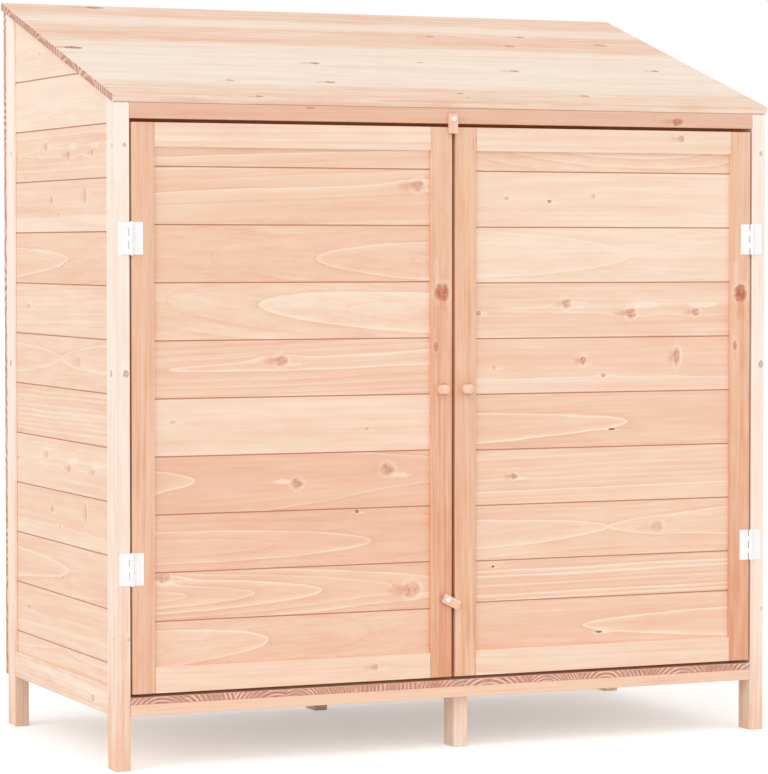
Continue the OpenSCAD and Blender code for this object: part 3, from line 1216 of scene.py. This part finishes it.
# The left door's boards from above.
LEFT_DOOR_BOARDS = (
    Stick(
        tip=207, heart=-14, climb=0.035, ring=12, rings=1, main=3, run=0.2, tone=0.1, wander=0.4,
        lesser=0.9,
    ),
    Stick(
        tip=207, heart=0, climb=0.04, rings=2, main=4, run=0.3, tone=0.02, wander=0.5, figure=0.9,
        lesser=0.9, knots=(Knot(403, 56, 8),),
    ),
    Stick(
        tip=246, points=Tip.BACK, heart=33, climb=-0.02, rings=2, run=6.6, tone=-0.12, wander=0.2,
        figure=0.75, lesser=0.3, inner=0.05,
    ),
    Stick(
        tip=161, points=Tip.BACK, heart=48, climb=-0.05, ring=14, rings=2, run=7.5, tone=0.2, wander=0.4,
        inner=0.13,
    ),
    Stick(
        tip=30, points=Tip.BACK, heart=39, climb=0.03, ring=8, rings=2, run=1.5, tone=0.05, wander=1.0,
        lesser=1.0, knots=(Knot(195, 50, 7.5),),
    ),
    Stick(
        tip=380, heart=110, ring=9, run=0.4, tone=0.45, figure=0.12, wander=0.4,
        knots=(Knot(34, 47, 2.5, 0.5, 2.0), Knot(324, 32, 3, 0.6)),
    ),
    Stick(
        tip=68, heart=45, climb=0.02, ring=22, rings=2, run=2.5, tone=-0.36, blush=0.16, wander=0.9,
        figure=0.95, lesser=0.9, inner=0.12,
        knots=(Knot(218, 37, 7, pale=(-22, 3, 18, 5)), Knot(356, 53, 8, pale=(21, -8, 18, 5))),
    ),
    Stick(
        tip=331, heart=33, ring=11.2, rings=2, run=6.7, tone=-0.3, blush=0.16, wander=0.25, figure=0.8,
        inner=0.06, knots=(Knot(309, 75, 2.8, 1.3),),
    ),
    Stick(
        tip=256, heart=33, ring=6.4, rings=4, run=10, tone=-0.21, blush=0.05, figure=0.95, wander=0.5,
        lesser=1.2, inner=0.05, knots=(Knot(21, 59, 7), Knot(393, 28, 10)),
    ),
    Stick(
        tip=176, heart=37, climb=0.04, rings=2, run=6.6, tone=-0.14, wander=0.2, figure=0.8, lesser=0.3,
        inner=0.08,
    ),
)

# The right door's boards from above.
RIGHT_DOOR_BOARDS = (
    # The top board's tone is raised as painted light, lifting the shade under the top rail.
    Stick(
        tip=396, heart=40, climb=-0.03, ring=12.5, rings=2, run=13.3, tone=0.25, wander=0.25, lesser=0.8,
    ),
    Stick(
        tip=330, heart=110, ring=10, run=0.4, tone=0.7, figure=0.1, wander=0.4,
        knots=(Knot(57, 41, 3, 0.7), Knot(125, 37, 2.8, 1.2), Knot(197, 45, 4.5, 0.6, 0.5)),
    ),
    Stick(tip=264, heart=40, ring=14, run=3.3, tone=0.68, figure=0.5, wander=0.4),
    Stick(
        tip=30, points=Tip.BACK, heart=40, ring=7, rings=2, run=1.2, tone=0.16, wander=0.9, figure=0.4,
        lesser=1.6,
        knots=(
            Knot(13, 36, 3.5), Knot(153, 49, 6.5, 0.7), Knot(258, 34, 7, pale=(22, 12.5, 28, 6)),
            Knot(365, 35, 5.5, 0.8, pale=(12, 11, 27, 5.5)),
        ),
    ),
    Stick(
        tip=20, heart=2, ring=12, rings=1, main=2, run=0.2, tone=0.1, blush=0.12, figure=0.3, wander=0.8,
        inner=0.26,
        knots=(
            Knot(37, 38, 3, 0.5), Knot(180, 46, 6.5, 0.9, 0.7), Knot(213, 24, 3.5),
            Knot(334, 50, 14, 0.75, 0.33, pale=(7, 1, 3, 15)),
        ),
    ),
    Stick(
        tip=254, heart=36, climb=0.024, ring=14, rings=3, run=1.87, tone=-0.17, wander=0.15, lesser=0.8,
        inner=0.06, knots=(Knot(227, 25, 1.8, 1.4, 3.2),),
    ),
    Stick(
        tip=200, heart=-6, climb=0.02, ring=8, rings=2, main=4, run=0.4, tone=0.12, wander=0.8,
        figure=0.75, lesser=0.8, knots=(Knot(69, 40, 4.5),),
    ),
    Stick(
        tip=222, points=Tip.BOTH, heart=42, climb=0.02, ring=13, rings=2, run=4, tone=0.02, wander=0.5,
        figure=0.9, lesser=0.9, knots=(Knot(302, 40, 8, 0.4),),
    ),
    Stick(
        tip=380, heart=-14, climb=0.012, ring=7, rings=1, main=4, run=0.4, tone=-0.05, wander=0.9,
        figure=1.1, lesser=1.2, knots=(Knot(36, 50, 2.0, 1.4),),
    ),
    Stick(
        tip=180, points=Tip.BACK, heart=35, climb=-0.02, ring=14, rings=3, run=1.87, tone=-0.1,
        wander=0.15, lesser=0.8, inner=0.06, knots=(Knot(207, 24, 1.8, 1.4, 3.2),),
    ),
)

# The boards of the side walls from below, like those of the right door but fainter.
WALL_BOARDS = tuple(
    replace(
        stick, tone=stick.tone + 0.2, figure=stick.figure * 0.6,
        knots=tuple(replace(knot, force=knot.force * 0.6) for knot in stick.knots),
    )
    for stick in reversed(RIGHT_DOOR_BOARDS[1:9] + RIGHT_DOOR_BOARDS[3:8])
)


@dataclass
class Boarding:
    """A wall of horizontal boards, each with a shadow line along its top edge."""

    line_w: float = mm(1.0)
    line_d: float = mm(0.9)
    eased: float = mm(0.4)

    def courses(self, joints: Sequence[float], low: float, high: float) -> list[tuple[float, float]]:
        """The lower and upper edge of each board between a wall's limits, from below."""
        edges = [low, *sorted(j for j in joints if low < j < high), high]
        return list(zip(edges, edges[1:]))

    def board(self, name: str, low: Vector, high: Vector, out: Vector, has_line: bool) -> bpy.types.Object:
        """One board.

        Args:
            name: Its name.
            low: Its lowest corner.
            high: Its highest corner.
            out: The way out of its face.
            has_line: Whether a board above leaves a shadow line.

        Returns:
            The board, with square edges.
        """
        if not has_line:
            return Bench.block(name, low, high)
        piece = Bench.block(name, low, high - Z * self.line_w)
        edge = max(low.dot(out), high.dot(out)) - self.line_d
        Bench.score(piece, out * edge, out)
        Bench.push(piece, lambda c, n: n.z > SQUARE and c.dot(out) < edge, Z * self.line_w)
        return piece

    def lay(
        self,
        name: str,
        box: tuple[Vector, Vector],
        joints: Sequence[float],
        lie: Lie,
        sticks: Sequence[Stick],
        roof: RoofPlane | None = None,
    ) -> bpy.types.Object:
        """Builds a wall's boards from below and joins them.

        Args:
            name: The wall's name.
            box: The wall's lowest and highest corners.
            joints: Heights of the joints.
            lie: How the boards lie.
            sticks: The boards' figures from below, which start again where they run out.
            roof: The slope that the wall is sawn to, if it meets the roof.

        Returns:
            The joined boards.
        """
        low, high = box
        laid = []
        courses = self.courses(joints, low.z, high.z)
        for number, (z0, z1) in enumerate(courses):
            corners = Vector((low.x, low.y, z0)), Vector((high.x, high.y, z1))
            piece = self.board(f"{name}_{number}", *corners, lie.out, z1 < high.z)
            if roof:
                roof.trim(piece, high)
            if not piece.data.polygons:
                bpy.data.objects.remove(piece)
                continue
            stick = sticks[number % len(sticks)]
            score_knots(piece, lie, stick)
            Bench.ease(piece, self.eased, 1)
            # The boards' edges inside the joints take painted shade.
            Grain(piece, lie, True).lay(stick)
            laid.append(piece)
        return Bench.join(laid, name)


@dataclass
class Walls:
    """The side walls and the back wall."""

    board_h: float = mm(74.3)
    first_h: float = mm(31.8)
    least: float = mm(40)

    def build(self, roof: RoofPlane) -> None:
        """Lays the boards of the three walls.

        Args:
            roof: The slope that they are sawn to.
        """
        boarding = Boarding()
        for side in Side:
            node = f"{side.value}_wall_boards"
            low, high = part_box(node)
            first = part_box(f"{side.value}_bottom_rail")[1].z + self.first_h
            joints = list(np.arange(first, high.z - self.least, self.board_h))
            lie = Lie(Y * side.sign, Z, X * side.sign)
            sticks = WALL_BOARDS if side is Side.LEFT else WALL_BOARDS[3:] + WALL_BOARDS[:3]
            piece = boarding.lay(f"boarding_{side.value}_wall", (low, high), joints, lie, sticks, roof)
            deliver(piece, Wood.BOARD, "shed", node)
        low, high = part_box("back_wall_boards")
        joints = list(np.arange(low.z + self.board_h, high.z - self.least, self.board_h))
        sticks = self.back_sticks(len(joints) + 1)
        piece = boarding.lay("boarding_back_wall", (low, high), joints, Lie(-X, Z, Y), sticks, roof)
        deliver(piece, Wood.BOARD, "shed", "back_wall_boards")

    def back_sticks(self, count: int) -> list[Stick]:
        """Figures for the long boards of the back wall.

        Args:
            count: The number of boards.

        Returns:
            A figure for each.
        """
        draw = random.Random(7)
        sticks = []
        for _ in range(count):
            knots = tuple(
                Knot(
                    along=spot + draw.uniform(-90, 90),
                    across=draw.uniform(15, 60),
                    radius=draw.uniform(2.5, 8),
                    force=draw.uniform(0.6, 1),
                )
                for spot in range(150, 1000, 260)
            )
            sticks.append(Stick(
                tip=draw.uniform(250, 750), points=draw.choice(list(Tip)), heart=draw.uniform(5, 70),
                climb=draw.uniform(-0.02, 0.02), rings=draw.randint(2, 5), run=draw.uniform(1.2, 4),
                ring=draw.uniform(9, 15), tone=draw.uniform(-0.15, 0.5), wander=draw.uniform(0.5, 1.2),
                knots=knots,
            ))
        return sticks


# The roof's strips from the eaves up: where each ends, in millimetres up the slope, and its figure.
ROOF_STRIPS = (
    (30, Stick(
        heart=60, ring=8, rings=3, run=0.4, tone=-0.35, figure=0.6,
        knots=(Knot(214, 3, 5, 0.8), Knot(540, 20, 4, 0.4)),
    )),
    (71, Stick(
        heart=120, ring=9, run=0.5, tone=-0.35, figure=0.7,
        knots=(Knot(538, 45, 5, 0.6), Knot(738, 44, 6, 0.7)),
    )),
    (150, Stick(
        heart=100, ring=13, run=1.4, tone=0.4, figure=0.6,
        knots=(Knot(203, 92, 6, 0.6), Knot(356, 94, 7, 0.8)),
    )),
    (240, Stick(
        heart=195, ring=12, run=1.6, tone=0.5, figure=0.6,
        knots=(Knot(377, 207, 7), Knot(554, 229, 5, 0.5), Knot(691, 188, 7, 0.8), Knot(938, 210, 6)),
    )),
    (317, Stick(
        heart=380, ring=12, run=0.6, tone=0.4, figure=0.6,
        knots=(Knot(26, 267, 8, 1.0, 1.7),),
    )),
    (424, Stick(
        heart=330, ring=10, run=0.6, tone=-0.65, blush=0.06, figure=0.7,
        knots=(
            Knot(644, 403, 6, 0.6), Knot(757, 352, 8, 0.5), Knot(803, 414, 6, 0.6), Knot(924, 375, 10, 0.4),
        ),
    )),
    (471, Stick(heart=520, ring=12, run=0.5, tone=0.35, figure=0.5)),
    (700, Stick(
        heart=480, ring=10, run=0.6, tone=-0.65, figure=0.7,
        knots=(Knot(142, 532, 8, 0.9, 1.8),),
    )),
)


@dataclass
class Panels:
    """The roof and the floor, each glued up from strips."""

    roof_eased: float = mm(1.2)
    floor_eased: float = mm(0.6)
    blend: float = mm(12)
    floor_strip_w: tuple[float, float] = (70, 110)

    def build(self, slope: RoofPlane) -> None:
        """Builds both panels."""
        self.roof(slope)
        self.floor()

    def roof(self, slope: RoofPlane) -> None:
        """The roof panel, whose strips run across the shed.

        Args:
            slope: The roof's slope.
        """
        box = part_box("roof_panel")
        spots = [v.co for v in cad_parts["roof_panel"].data.vertices]
        rise = [s.dot(slope.climb) for s in spots]
        lift = [s.dot(slope.up) for s in spots]
        half = Vector((box[1].x - box[0].x, max(rise) - min(rise), max(lift) - min(lift))) / 2
        middle = slope.climb * (max(rise) + min(rise)) / 2 + slope.up * (max(lift) + min(lift)) / 2
        piece = Bench.block("glued_roof_panel", middle - half, middle + half, (slope.slope, 0, 0))
        lie = Lie(X, slope.climb, slope.up)
        start = min(rise)
        for end, stick in ROOF_STRIPS:
            for step in (-self.blend, 0, self.blend):
                Bench.score(piece, slope.climb * (start + mm(end) + step), slope.climb)
            score_knots(piece, lie, stick)
        Bench.ease(piece, self.roof_eased)

        def strip_at(centre: Vector) -> Stick:
            """The strip under a face's centre."""
            up = centre.dot(slope.climb) - start
            return next(stick for end, stick in ROOF_STRIPS if up < mm(end))

        def tone_at(spot: Vector) -> float:
            """The tone at a place, which passes gently from strip to strip."""
            step = slope.climb * self.blend * 0.9
            return (strip_at(spot - step).tone + strip_at(spot + step).tone) / 2

        grain = Grain(piece, lie)
        grain.lay_by(strip_at)
        grain.tint(tone_at)
        deliver(piece, Wood.DECK, "shed", "roof_panel")

    def floor(self) -> None:
        """The floor panel, whose strips run from front to back and show their ends under the doors."""
        low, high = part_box("floor_panel")
        piece = Bench.block("glued_floor_panel", low, high)
        strips = self.floor_strips((high.x - low.x) * 1000)
        for end, _ in strips[:-1]:
            Bench.score(piece, X * (low.x + mm(end)), X)
        Bench.ease(piece, self.floor_eased)

        def strip_at(centre: Vector) -> Stick:
            """The strip under a face's centre."""
            return next((stick for end, stick in strips if centre.x - low.x < mm(end)), strips[-1][1])

        Grain(piece, Lie(Y, X, Z)).lay_by(strip_at)
        deliver(piece, Wood.DECK, "shed", "floor_panel")

    def floor_strips(self, width: float) -> list[tuple[float, Stick]]:
        """Draws the strips of the floor.

        Args:
            width: The floor's width, in millimetres.

        Returns:
            Where each strip ends, in millimetres from the left, and its figure.
        """
        draw = random.Random(3)
        strips = []
        place = 0.0
        while place < width:
            wide = draw.uniform(*self.floor_strip_w)
            middle = place + draw.uniform(-0.2, 1.2) * wide
            place += wide
            strips.append((place, Stick(
                heart=middle, ring=draw.uniform(4, 7), rings=draw.randint(1, 8), run=1.2,
                tone=draw.uniform(-0.4, 0.3), wander=0.9,
            )))
        return strips


@dataclass
class Door:
    """One framed, boarded door."""

    side: Side
    sticks: Sequence[Stick]
    top_board_h: float
    bottom_board_h: float
    board_h: float = mm(79.7)
    seat_gap: float = mm(1)
    least: float = mm(40)
    eased: float = mm(0.8)
    spare: float = mm(20)

    @property
    def body(self) -> str:
        """The CAD body that the door is."""
        return f"{self.side.value}_door"

    @property
    def panel(self) -> tuple[Vector, Vector]:
        """The lowest and highest corners of the door's boards."""
        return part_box(f"{self.body}_boards")

    def build(self) -> None:
        """Builds the door's frame and boards."""
        upright = Stick(ring=8, rings=3, run=0.5, figure=0.4, wander=0.6, span=780)
        hinge = replace(upright, tip=300, heart=70, climb=0.01, tone=0.02)
        closing = replace(upright, tip=500, heart=90, climb=-0.008)
        top = Stick(tip=200, heart=50, ring=9, run=1.0, tone=0.52, figure=0.6)
        bottom = Stick(tip=150, heart=-8, ring=10, run=1.2, tone=0.45, figure=0.6)
        if self.side is Side.LEFT:
            knots = (Knot(472, 8, 3.6, 0.6, 1.9), Knot(549, 17, 10.5, 0.95))
            closing = replace(closing, tone=0.25, foot=1.0, knots=knots)
            bottom = replace(bottom, knots=(Knot(334, 20, 5, 0.6),))
        else:
            knots = (Knot(468, 8, 3.6, 0.6, 1.9), Knot(545, 17, 10.5, 0.95))
            hinge = replace(hinge, tone=0.35, foot=1.2, knots=knots)
            top = replace(top, knots=(Knot(337, 22, 5.5, 0.6),))
        self.stile("hinge_stile", self.side.sign, hinge)
        self.stile("closing_stile", -self.side.sign, closing)
        self.rail("top_rail", -1, top)
        self.rail("bottom_rail", 1, bottom)
        self.boards()

    def in_groove(self, centre: Vector) -> bool:
        """Whether a place lies as deep in the door as its boards do."""
        return self.panel[0].y < centre.y < self.panel[1].y

    def stile(self, part: str, away: int, stick: Stick) -> None:
        """An upright of the frame, grooved for the boards and the rails' tongues.

        Args:
            part: Which stile.
            away: The direction along X that its plain edge faces.
            stick: Its figure.
        """
        node = f"{self.body}_{part}"
        low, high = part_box(node)
        piece = Bench.block(f"planed_{node}", low - Z * self.spare, high + Z * self.spare)
        inner = low.x if away > 0 else high.x
        end = self.panel[1].x if away > 0 else self.panel[0].x
        depth = abs(end - inner) + self.seat_gap
        self.score_groove(piece)
        Bench.push(piece, lambda c, n: n.x * away < -SQUARE and self.in_groove(c), X * away * depth)
        Bench.cut(piece, high, Z)
        Bench.cut(piece, low, -Z)
        self.finish(piece, UPRIGHT, stick, Wood.STILE, node)

    def rail(self, part: str, inward: int, stick: Stick) -> None:
        """A level piece of the frame, grooved for the boards and tongued into the stiles.

        Args:
            part: Which rail.
            inward: The direction along Z of its grooved edge.
            stick: Its figure.
        """
        node = f"{self.body}_{part}"
        low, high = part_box(node)
        first, last = self.opening()
        piece = Bench.block(f"planed_{node}", low - X * self.spare, high + X * self.spare)
        edge = high.z if inward > 0 else low.z
        end = self.panel[0].z if inward > 0 else self.panel[1].z
        depth = abs(edge - end) + self.seat_gap
        self.score_groove(piece)
        Bench.push(piece, lambda c, n: n.z * inward > SQUARE and self.in_groove(c), -Z * inward * depth)
        Bench.cut(piece, X * first, -X)
        Bench.cut(piece, X * last, X)
        self.score_groove(piece)
        Bench.push(piece, lambda c, n: n.x < -SQUARE and self.in_groove(c), X * (low.x - first))
        Bench.push(piece, lambda c, n: n.x > SQUARE and self.in_groove(c), X * (high.x - last))
        self.finish(piece, FRONT, stick, Wood.BOARD, node)

    def score_groove(self, piece: bpy.types.Object) -> None:
        """Marks the two sides of the groove round a piece."""
        for y in (self.panel[0].y, self.panel[1].y):
            Bench.score(piece, Y * y, Y)

    def opening(self) -> tuple[float, float]:
        """Finds the frame's opening.

        Returns:
            Where it starts and ends along X.
        """
        edges = [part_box(f"{self.body}_{part}") for part in ("hinge_stile", "closing_stile")]
        left, right = sorted(edges, key=lambda box: box[0].x)
        return left[1].x, right[0].x

    def boards(self) -> None:
        """The boards in the frame."""
        node = f"{self.body}_boards"
        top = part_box(f"{self.body}_top_rail")[0].z
        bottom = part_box(f"{self.body}_bottom_rail")[1].z
        lowest = bottom + self.bottom_board_h
        joints = [lowest, *np.arange(top - self.top_board_h, lowest + self.least, -self.board_h)]
        name = f"boarding_{self.body}"
        piece = Boarding().lay(name, self.panel, joints, FRONT, tuple(reversed(self.sticks)))
        deliver(piece, Wood.BOARD, self.body, node)

    def finish(self, piece: bpy.types.Object, lie: Lie, stick: Stick, finish: Wood, node: str) -> None:
        """Finishes a stick and delivers it on the door's body."""
        finish_stick(piece, lie, stick, finish, self.eased, self.body, node)


@dataclass
class Screws:
    """Round-headed screws through the turn buttons, and flat ones in the hinges' leaves."""

    head_h: float = mm(2)
    head_recess: float = mm(1.1)
    shank_r: float = mm(2)
    leaf_h: float = mm(44.5)
    leaf_t: float = mm(1.2)
    leaf_share: float = 0.58
    pitch: float = mm(15)
    flat_r: float = mm(2.9)
    flat_h: float = mm(0.3)
    flat_back: float = mm(1.0)
    flat_recess: float = mm(0.35)
    slot_w: float = mm(0.75)
    clear: float = mm(1)

    def build(self) -> None:
        """Drives every screw."""
        self.round_head("top_button_screw", "shed")
        self.round_head("bottom_button_screw", "left_door")
        for side in Side:
            self.leaf_screws(side)

    def cross(self, piece: bpy.types.Object, front: Vector, arm: float, depth: float) -> None:
        """Cuts a cross recess in a screw's head.

        Args:
            piece: The screw.
            front: The middle of the head's front.
            arm: The length of the cross's arms.
            depth: The recess's depth.
        """
        half = self.slot_w / 2
        bars = [
            Bench.block(f"bar_{number}", front - size - Y * self.clear, front + size + Y * depth)
            for number, size in enumerate((Vector((arm, 0, half)), Vector((half, 0, arm))))
        ]
        Bench.subtract(piece, Bench.join(bars, "cross_cutter"))

    def round_head(self, node: str, body: str) -> None:
        """A round-headed screw in place of its CAD node.

        Args:
            node: The CAD node.
            body: The body that it rides on.
        """
        low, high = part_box(node)
        head = (high.x - low.x) / 2
        seat = Vector(((low.x + high.x) / 2, low.y + self.head_h, (low.z + high.z) / 2))
        slopes = np.radians((40, 56, 68, 78))
        dome = [(self.head_h * math.sin(a), head * math.cos(a) ** 0.7) for a in slopes]
        profile = [(mm(0.02), head * 0.97), (mm(0.4), head), *dome, (self.head_h, head * 0.2)]
        piece = Bench.turned(f"driven_{node}", seat, high.y - seat.y, self.shank_r, profile)
        self.cross(piece, Vector((seat.x, low.y, seat.z)), head * 0.5, self.head_recess)
        deliver(piece, Metal.SCREW, body, node)

    def leaf_screws(self, side: Side) -> None:
        """The flat screws of one side's hinges.

        Args:
            side: The side.
        """
        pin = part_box(f"{side.value}_hinge_pins")
        axis = (pin[0].x + pin[1].x) / 2
        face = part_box("header_rail")[0].y - self.leaf_t
        radius = self.flat_r
        profile = [(mm(0.05), radius), (mm(0.22), radius * 0.9), (self.flat_h, radius * 0.6)]
        for part, body in (("post", "shed"), ("door", f"{side.value}_door")):
            low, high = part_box(f"{side.value}_hinge_{part}_leaves")
            far = low.x if abs(low.x - axis) > abs(high.x - axis) else high.x
            x = axis + (far - axis) * self.leaf_share
            first = Vector((x, face, low.z + self.leaf_h / 2 - self.pitch))
            name = f"hinge_screws_{side.value}_{part}"
            master = Bench.turned(f"{name}_0", first, self.flat_back, radius * 0.97, profile)
            self.cross(master, first - Y * self.flat_h, radius * 0.55, self.flat_recess)
            next_screw = Z * self.pitch * 2
            next_leaf = Z * (high.z - low.z - self.leaf_h)
            ways = (next_screw, next_leaf, next_screw + next_leaf)
            copies = [Bench.copy(master, f"{name}_{number}", way) for number, way in enumerate(ways, 1)]
            deliver(Bench.join([master, *copies], name), Metal.HINGE, body)


class Hinges:
    """The hinges' leaves and pins, which show as their CAD solids."""

    FINISHES = {"post_leaves": Metal.HINGE, "door_leaves": Metal.HINGE, "pins": Metal.SCREW}

    def build(self) -> None:
        """Gives every leaf and pin its finish."""
        for side in Side:
            for part, finish in self.FINISHES.items():
                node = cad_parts[f"{side.value}_hinge_{part}"]
                node.data.materials.clear()
                node.data.materials.append(finish.value.material())
                log.info("%s: finished as %s", node.name, finish.value.slot)


@dataclass
class Turnery:
    """The doors' knobs and the turn buttons."""

    spigot_r: float = mm(4)
    knob: tuple[tuple[float, float], ...] = (
        (0.05, 5.5), (1.9, 5.5), (3.2, 6.9), (5.2, 8.15), (7.4, 8.85), (9.0, 9.0),
        (10.6, 8.85), (12.8, 8.15), (14.8, 6.9), (16.3, 5.3), (17.3, 3.5), (17.9, 1.6),
    )
    button_size: tuple[float, float, float] = (13, 7, 29)
    button_near: float = mm(8)
    bore_r: float = mm(2.1)
    bottom_lean: float = math.radians(-63)
    eased: float = mm(1.1)

    def build(self) -> None:
        """Builds the knobs and buttons."""
        for side in Side:
            self.turn_knob(side)
        self.button("top_button", "top_turn_button", 0.0)
        self.button("bottom_button", "bottom_turn_button", self.bottom_lean)

    def turn_knob(self, side: Side) -> None:
        """A door's knob.

        Args:
            side: The door's side.
        """
        node = f"{side.value}_door_knob"
        low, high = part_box(node)
        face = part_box(f"{side.value}_door_closing_stile")[0].y
        centre = Vector(((low.x + high.x) / 2, face, (low.z + high.z) / 2))
        profile = [(mm(reach), mm(radius)) for reach, radius in self.knob]
        piece = Bench.turned(f"turned_{node}", centre, high.y - face, self.spigot_r, profile)
        stick = Stick(tip=9, heart=9, ring=2.4, rings=3, run=2, tone=-0.15, figure=0.3, wander=0.6)
        Grain(piece, UPRIGHT).lay(stick)
        deliver(piece, Wood.TURNED, f"{side.value}_door", node)

    def button(self, node: str, body: str, lean: float) -> None:
        """A turn button, bored for its screw.

        Args:
            node: The CAD node that it stands for.
            body: The body that it rides on.
            lean: Its turn from hanging straight down, about Y.
        """
        low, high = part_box(node)
        screw_low, screw_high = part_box(f"{node}_screw")
        wide, deep, tall = (mm(size) for size in self.button_size)
        pivot = (screw_low + screw_high) / 2
        pivot.y = (low.y + high.y) / 2
        turn = Matrix.Rotation(lean, 3, "Y")
        middle = pivot - turn @ (Z * (tall / 2 - self.button_near))
        half = Vector((wide, deep, tall)) / 2
        piece = Bench.block(f"shaped_{node}", middle - half, middle + half, (0, lean, 0))
        Bench.ease(piece, self.eased, 3)
        Bench.subtract(piece, Bench.drum("bore", pivot, self.bore_r, deep * 2))
        stick = Stick(tip=20, heart=20, ring=5, rings=3, run=6, tone=-0.1, figure=0.6)
        Grain(piece, Lie(turn @ Z, turn @ X, -Y)).lay(stick)
        deliver(piece, Wood.TURNED, body, node)


@dataclass(frozen=True)
class Lamp:
    """A broad, far lamp in front of the shed, with its angles in degrees.

    It stands aside to the right of straight ahead and above the horizon, and fills an angle of width.
    """

    name: str
    aside: float
    above: float
    strength: float
    width: float

    def hang(self) -> None:
        """Adds the lamp to the scene."""
        data = bpy.data.lights.new(self.name, "SUN")
        data.energy = self.strength
        data.angle = math.radians(self.width)
        lamp = bpy.data.objects.new(self.name, data)
        bpy.context.scene.collection.objects.link(lamp)
        way = in_front(math.radians(self.aside), math.radians(self.above))
        lamp.rotation_euler = way.to_track_quat("Z", "Y").to_euler()


@dataclass
class Studio:
    """Camera, lamps and floor."""

    image_w: int = 768
    image_h: int = 774
    focal_px: float = 3293.3
    centre_px: tuple[float, float] = (410, 370)
    eye: tuple[float, float, float] = (-1.94542, -4.51633, 0.71535)
    yaw: float = math.radians(23.7635)
    pitch: float = math.radians(2.1012)
    roll: float = math.radians(0.0285)
    sensor: float = 36.0
    ambient: float = 0.62
    lamps: tuple[Lamp, ...] = (Lamp("key", -62, 28, 1.21, 70), Lamp("fill", 30, 32, 0.6, 80))
    floor_size: float = 60
    floor_glow: float = 0.36
    inside_power: float = 0.5
    inside_size: float = mm(150)
    inside_step: float = mm(100)

    def build(self) -> None:
        """Sets up the whole studio."""
        bpy.context.scene.view_settings.view_transform = "Standard"
        self.camera()
        self.world()
        for lamp in self.lamps:
            lamp.hang()
        self.inside_lamp()
        self.floor()

    def camera(self) -> None:
        """The camera, at the photograph's place and angle."""
        ahead = -in_front(-self.yaw, self.pitch)
        right = Vector((math.cos(self.yaw), -math.sin(self.yaw), 0))
        turn = Matrix.Rotation(-self.roll, 3, ahead)
        right = turn @ right
        up = right.cross(ahead)
        data = bpy.data.cameras.new("camera")
        longest = max(self.image_w, self.image_h)
        data.sensor_width = self.sensor
        data.lens = self.focal_px / longest * self.sensor
        data.shift_x = (self.image_w / 2 - self.centre_px[0]) / longest
        data.shift_y = (self.centre_px[1] - self.image_h / 2) / longest
        camera = bpy.data.objects.new("camera", data)
        bpy.context.scene.collection.objects.link(camera)
        turned = Matrix((right, up, -ahead)).transposed().to_4x4()
        camera.matrix_world = Matrix.Translation(self.eye) @ turned
        bpy.context.scene.camera = camera

    def world(self) -> None:
        """An even sky that lights the shed, and shows white behind it and in its metal."""
        world = bpy.data.worlds.new("studio")
        world.use_nodes = True
        bpy.context.scene.world = world
        r = Recipe(world.node_tree)
        strength = self.ambient + (1 - self.ambient) * r.seen()
        sky = r.node("ShaderNodeBackground", {}, {"Color": (1, 1, 1, 1), "Strength": strength})
        r.node("ShaderNodeOutputWorld", {}, {"Surface": sky})

    def inside_lamp(self) -> None:
        """A weak, warm lamp in the shed, so that the gaps round its doors are brown and not black."""
        data = bpy.data.lights.new("inside", "POINT")
        data.energy = self.inside_power
        data.shadow_soft_size = self.inside_size
        data.color = linear("#F6C39C")[:3]
        lamp = bpy.data.objects.new("inside", data)
        bpy.context.scene.collection.objects.link(lamp)
        middle = (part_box("floor_panel")[0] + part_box("roof_panel")[1]) / 2
        lamp.location = middle - Y * self.inside_step

    def floor(self) -> None:
        """A plain pale floor."""
        bpy.ops.object.select_all(action="DESELECT")
        bpy.ops.mesh.primitive_plane_add(size=self.floor_size)
        floor = Bench.own("studio_floor")
        material = bpy.data.materials.new("studio_floor")
        material.use_nodes = True
        r = Recipe(material.node_tree)
        r.surface({
            "Base Color": linear("#F7F7F6"),
            "Roughness": 0.9,
            "Specular IOR Level": 0.0,
            "Emission Color": r.mix(r.seen(), (0, 0, 0, 1), (1, 1, 1, 1)),
            "Emission Strength": self.floor_glow,
        })
        floor.data.materials.append(material)


def main() -> None:
    """Builds the shed's pieces in order, then the studio."""
    logging.basicConfig(level=logging.INFO, format="%(name)s: %(message)s")
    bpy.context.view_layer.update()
    roof = RoofPlane.of_frame()
    Frame().build(roof)
    Walls().build(roof)
    Panels().build(roof)
    Door(Side.LEFT, LEFT_DOOR_BOARDS, mm(26), mm(63)).build()
    Door(Side.RIGHT, RIGHT_DOOR_BOARDS, mm(28), mm(69)).build()
    Turnery().build()
    Screws().build()
    Hinges().build()
    Studio().build()
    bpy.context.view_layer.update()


if __name__ == "__main__":
    main()
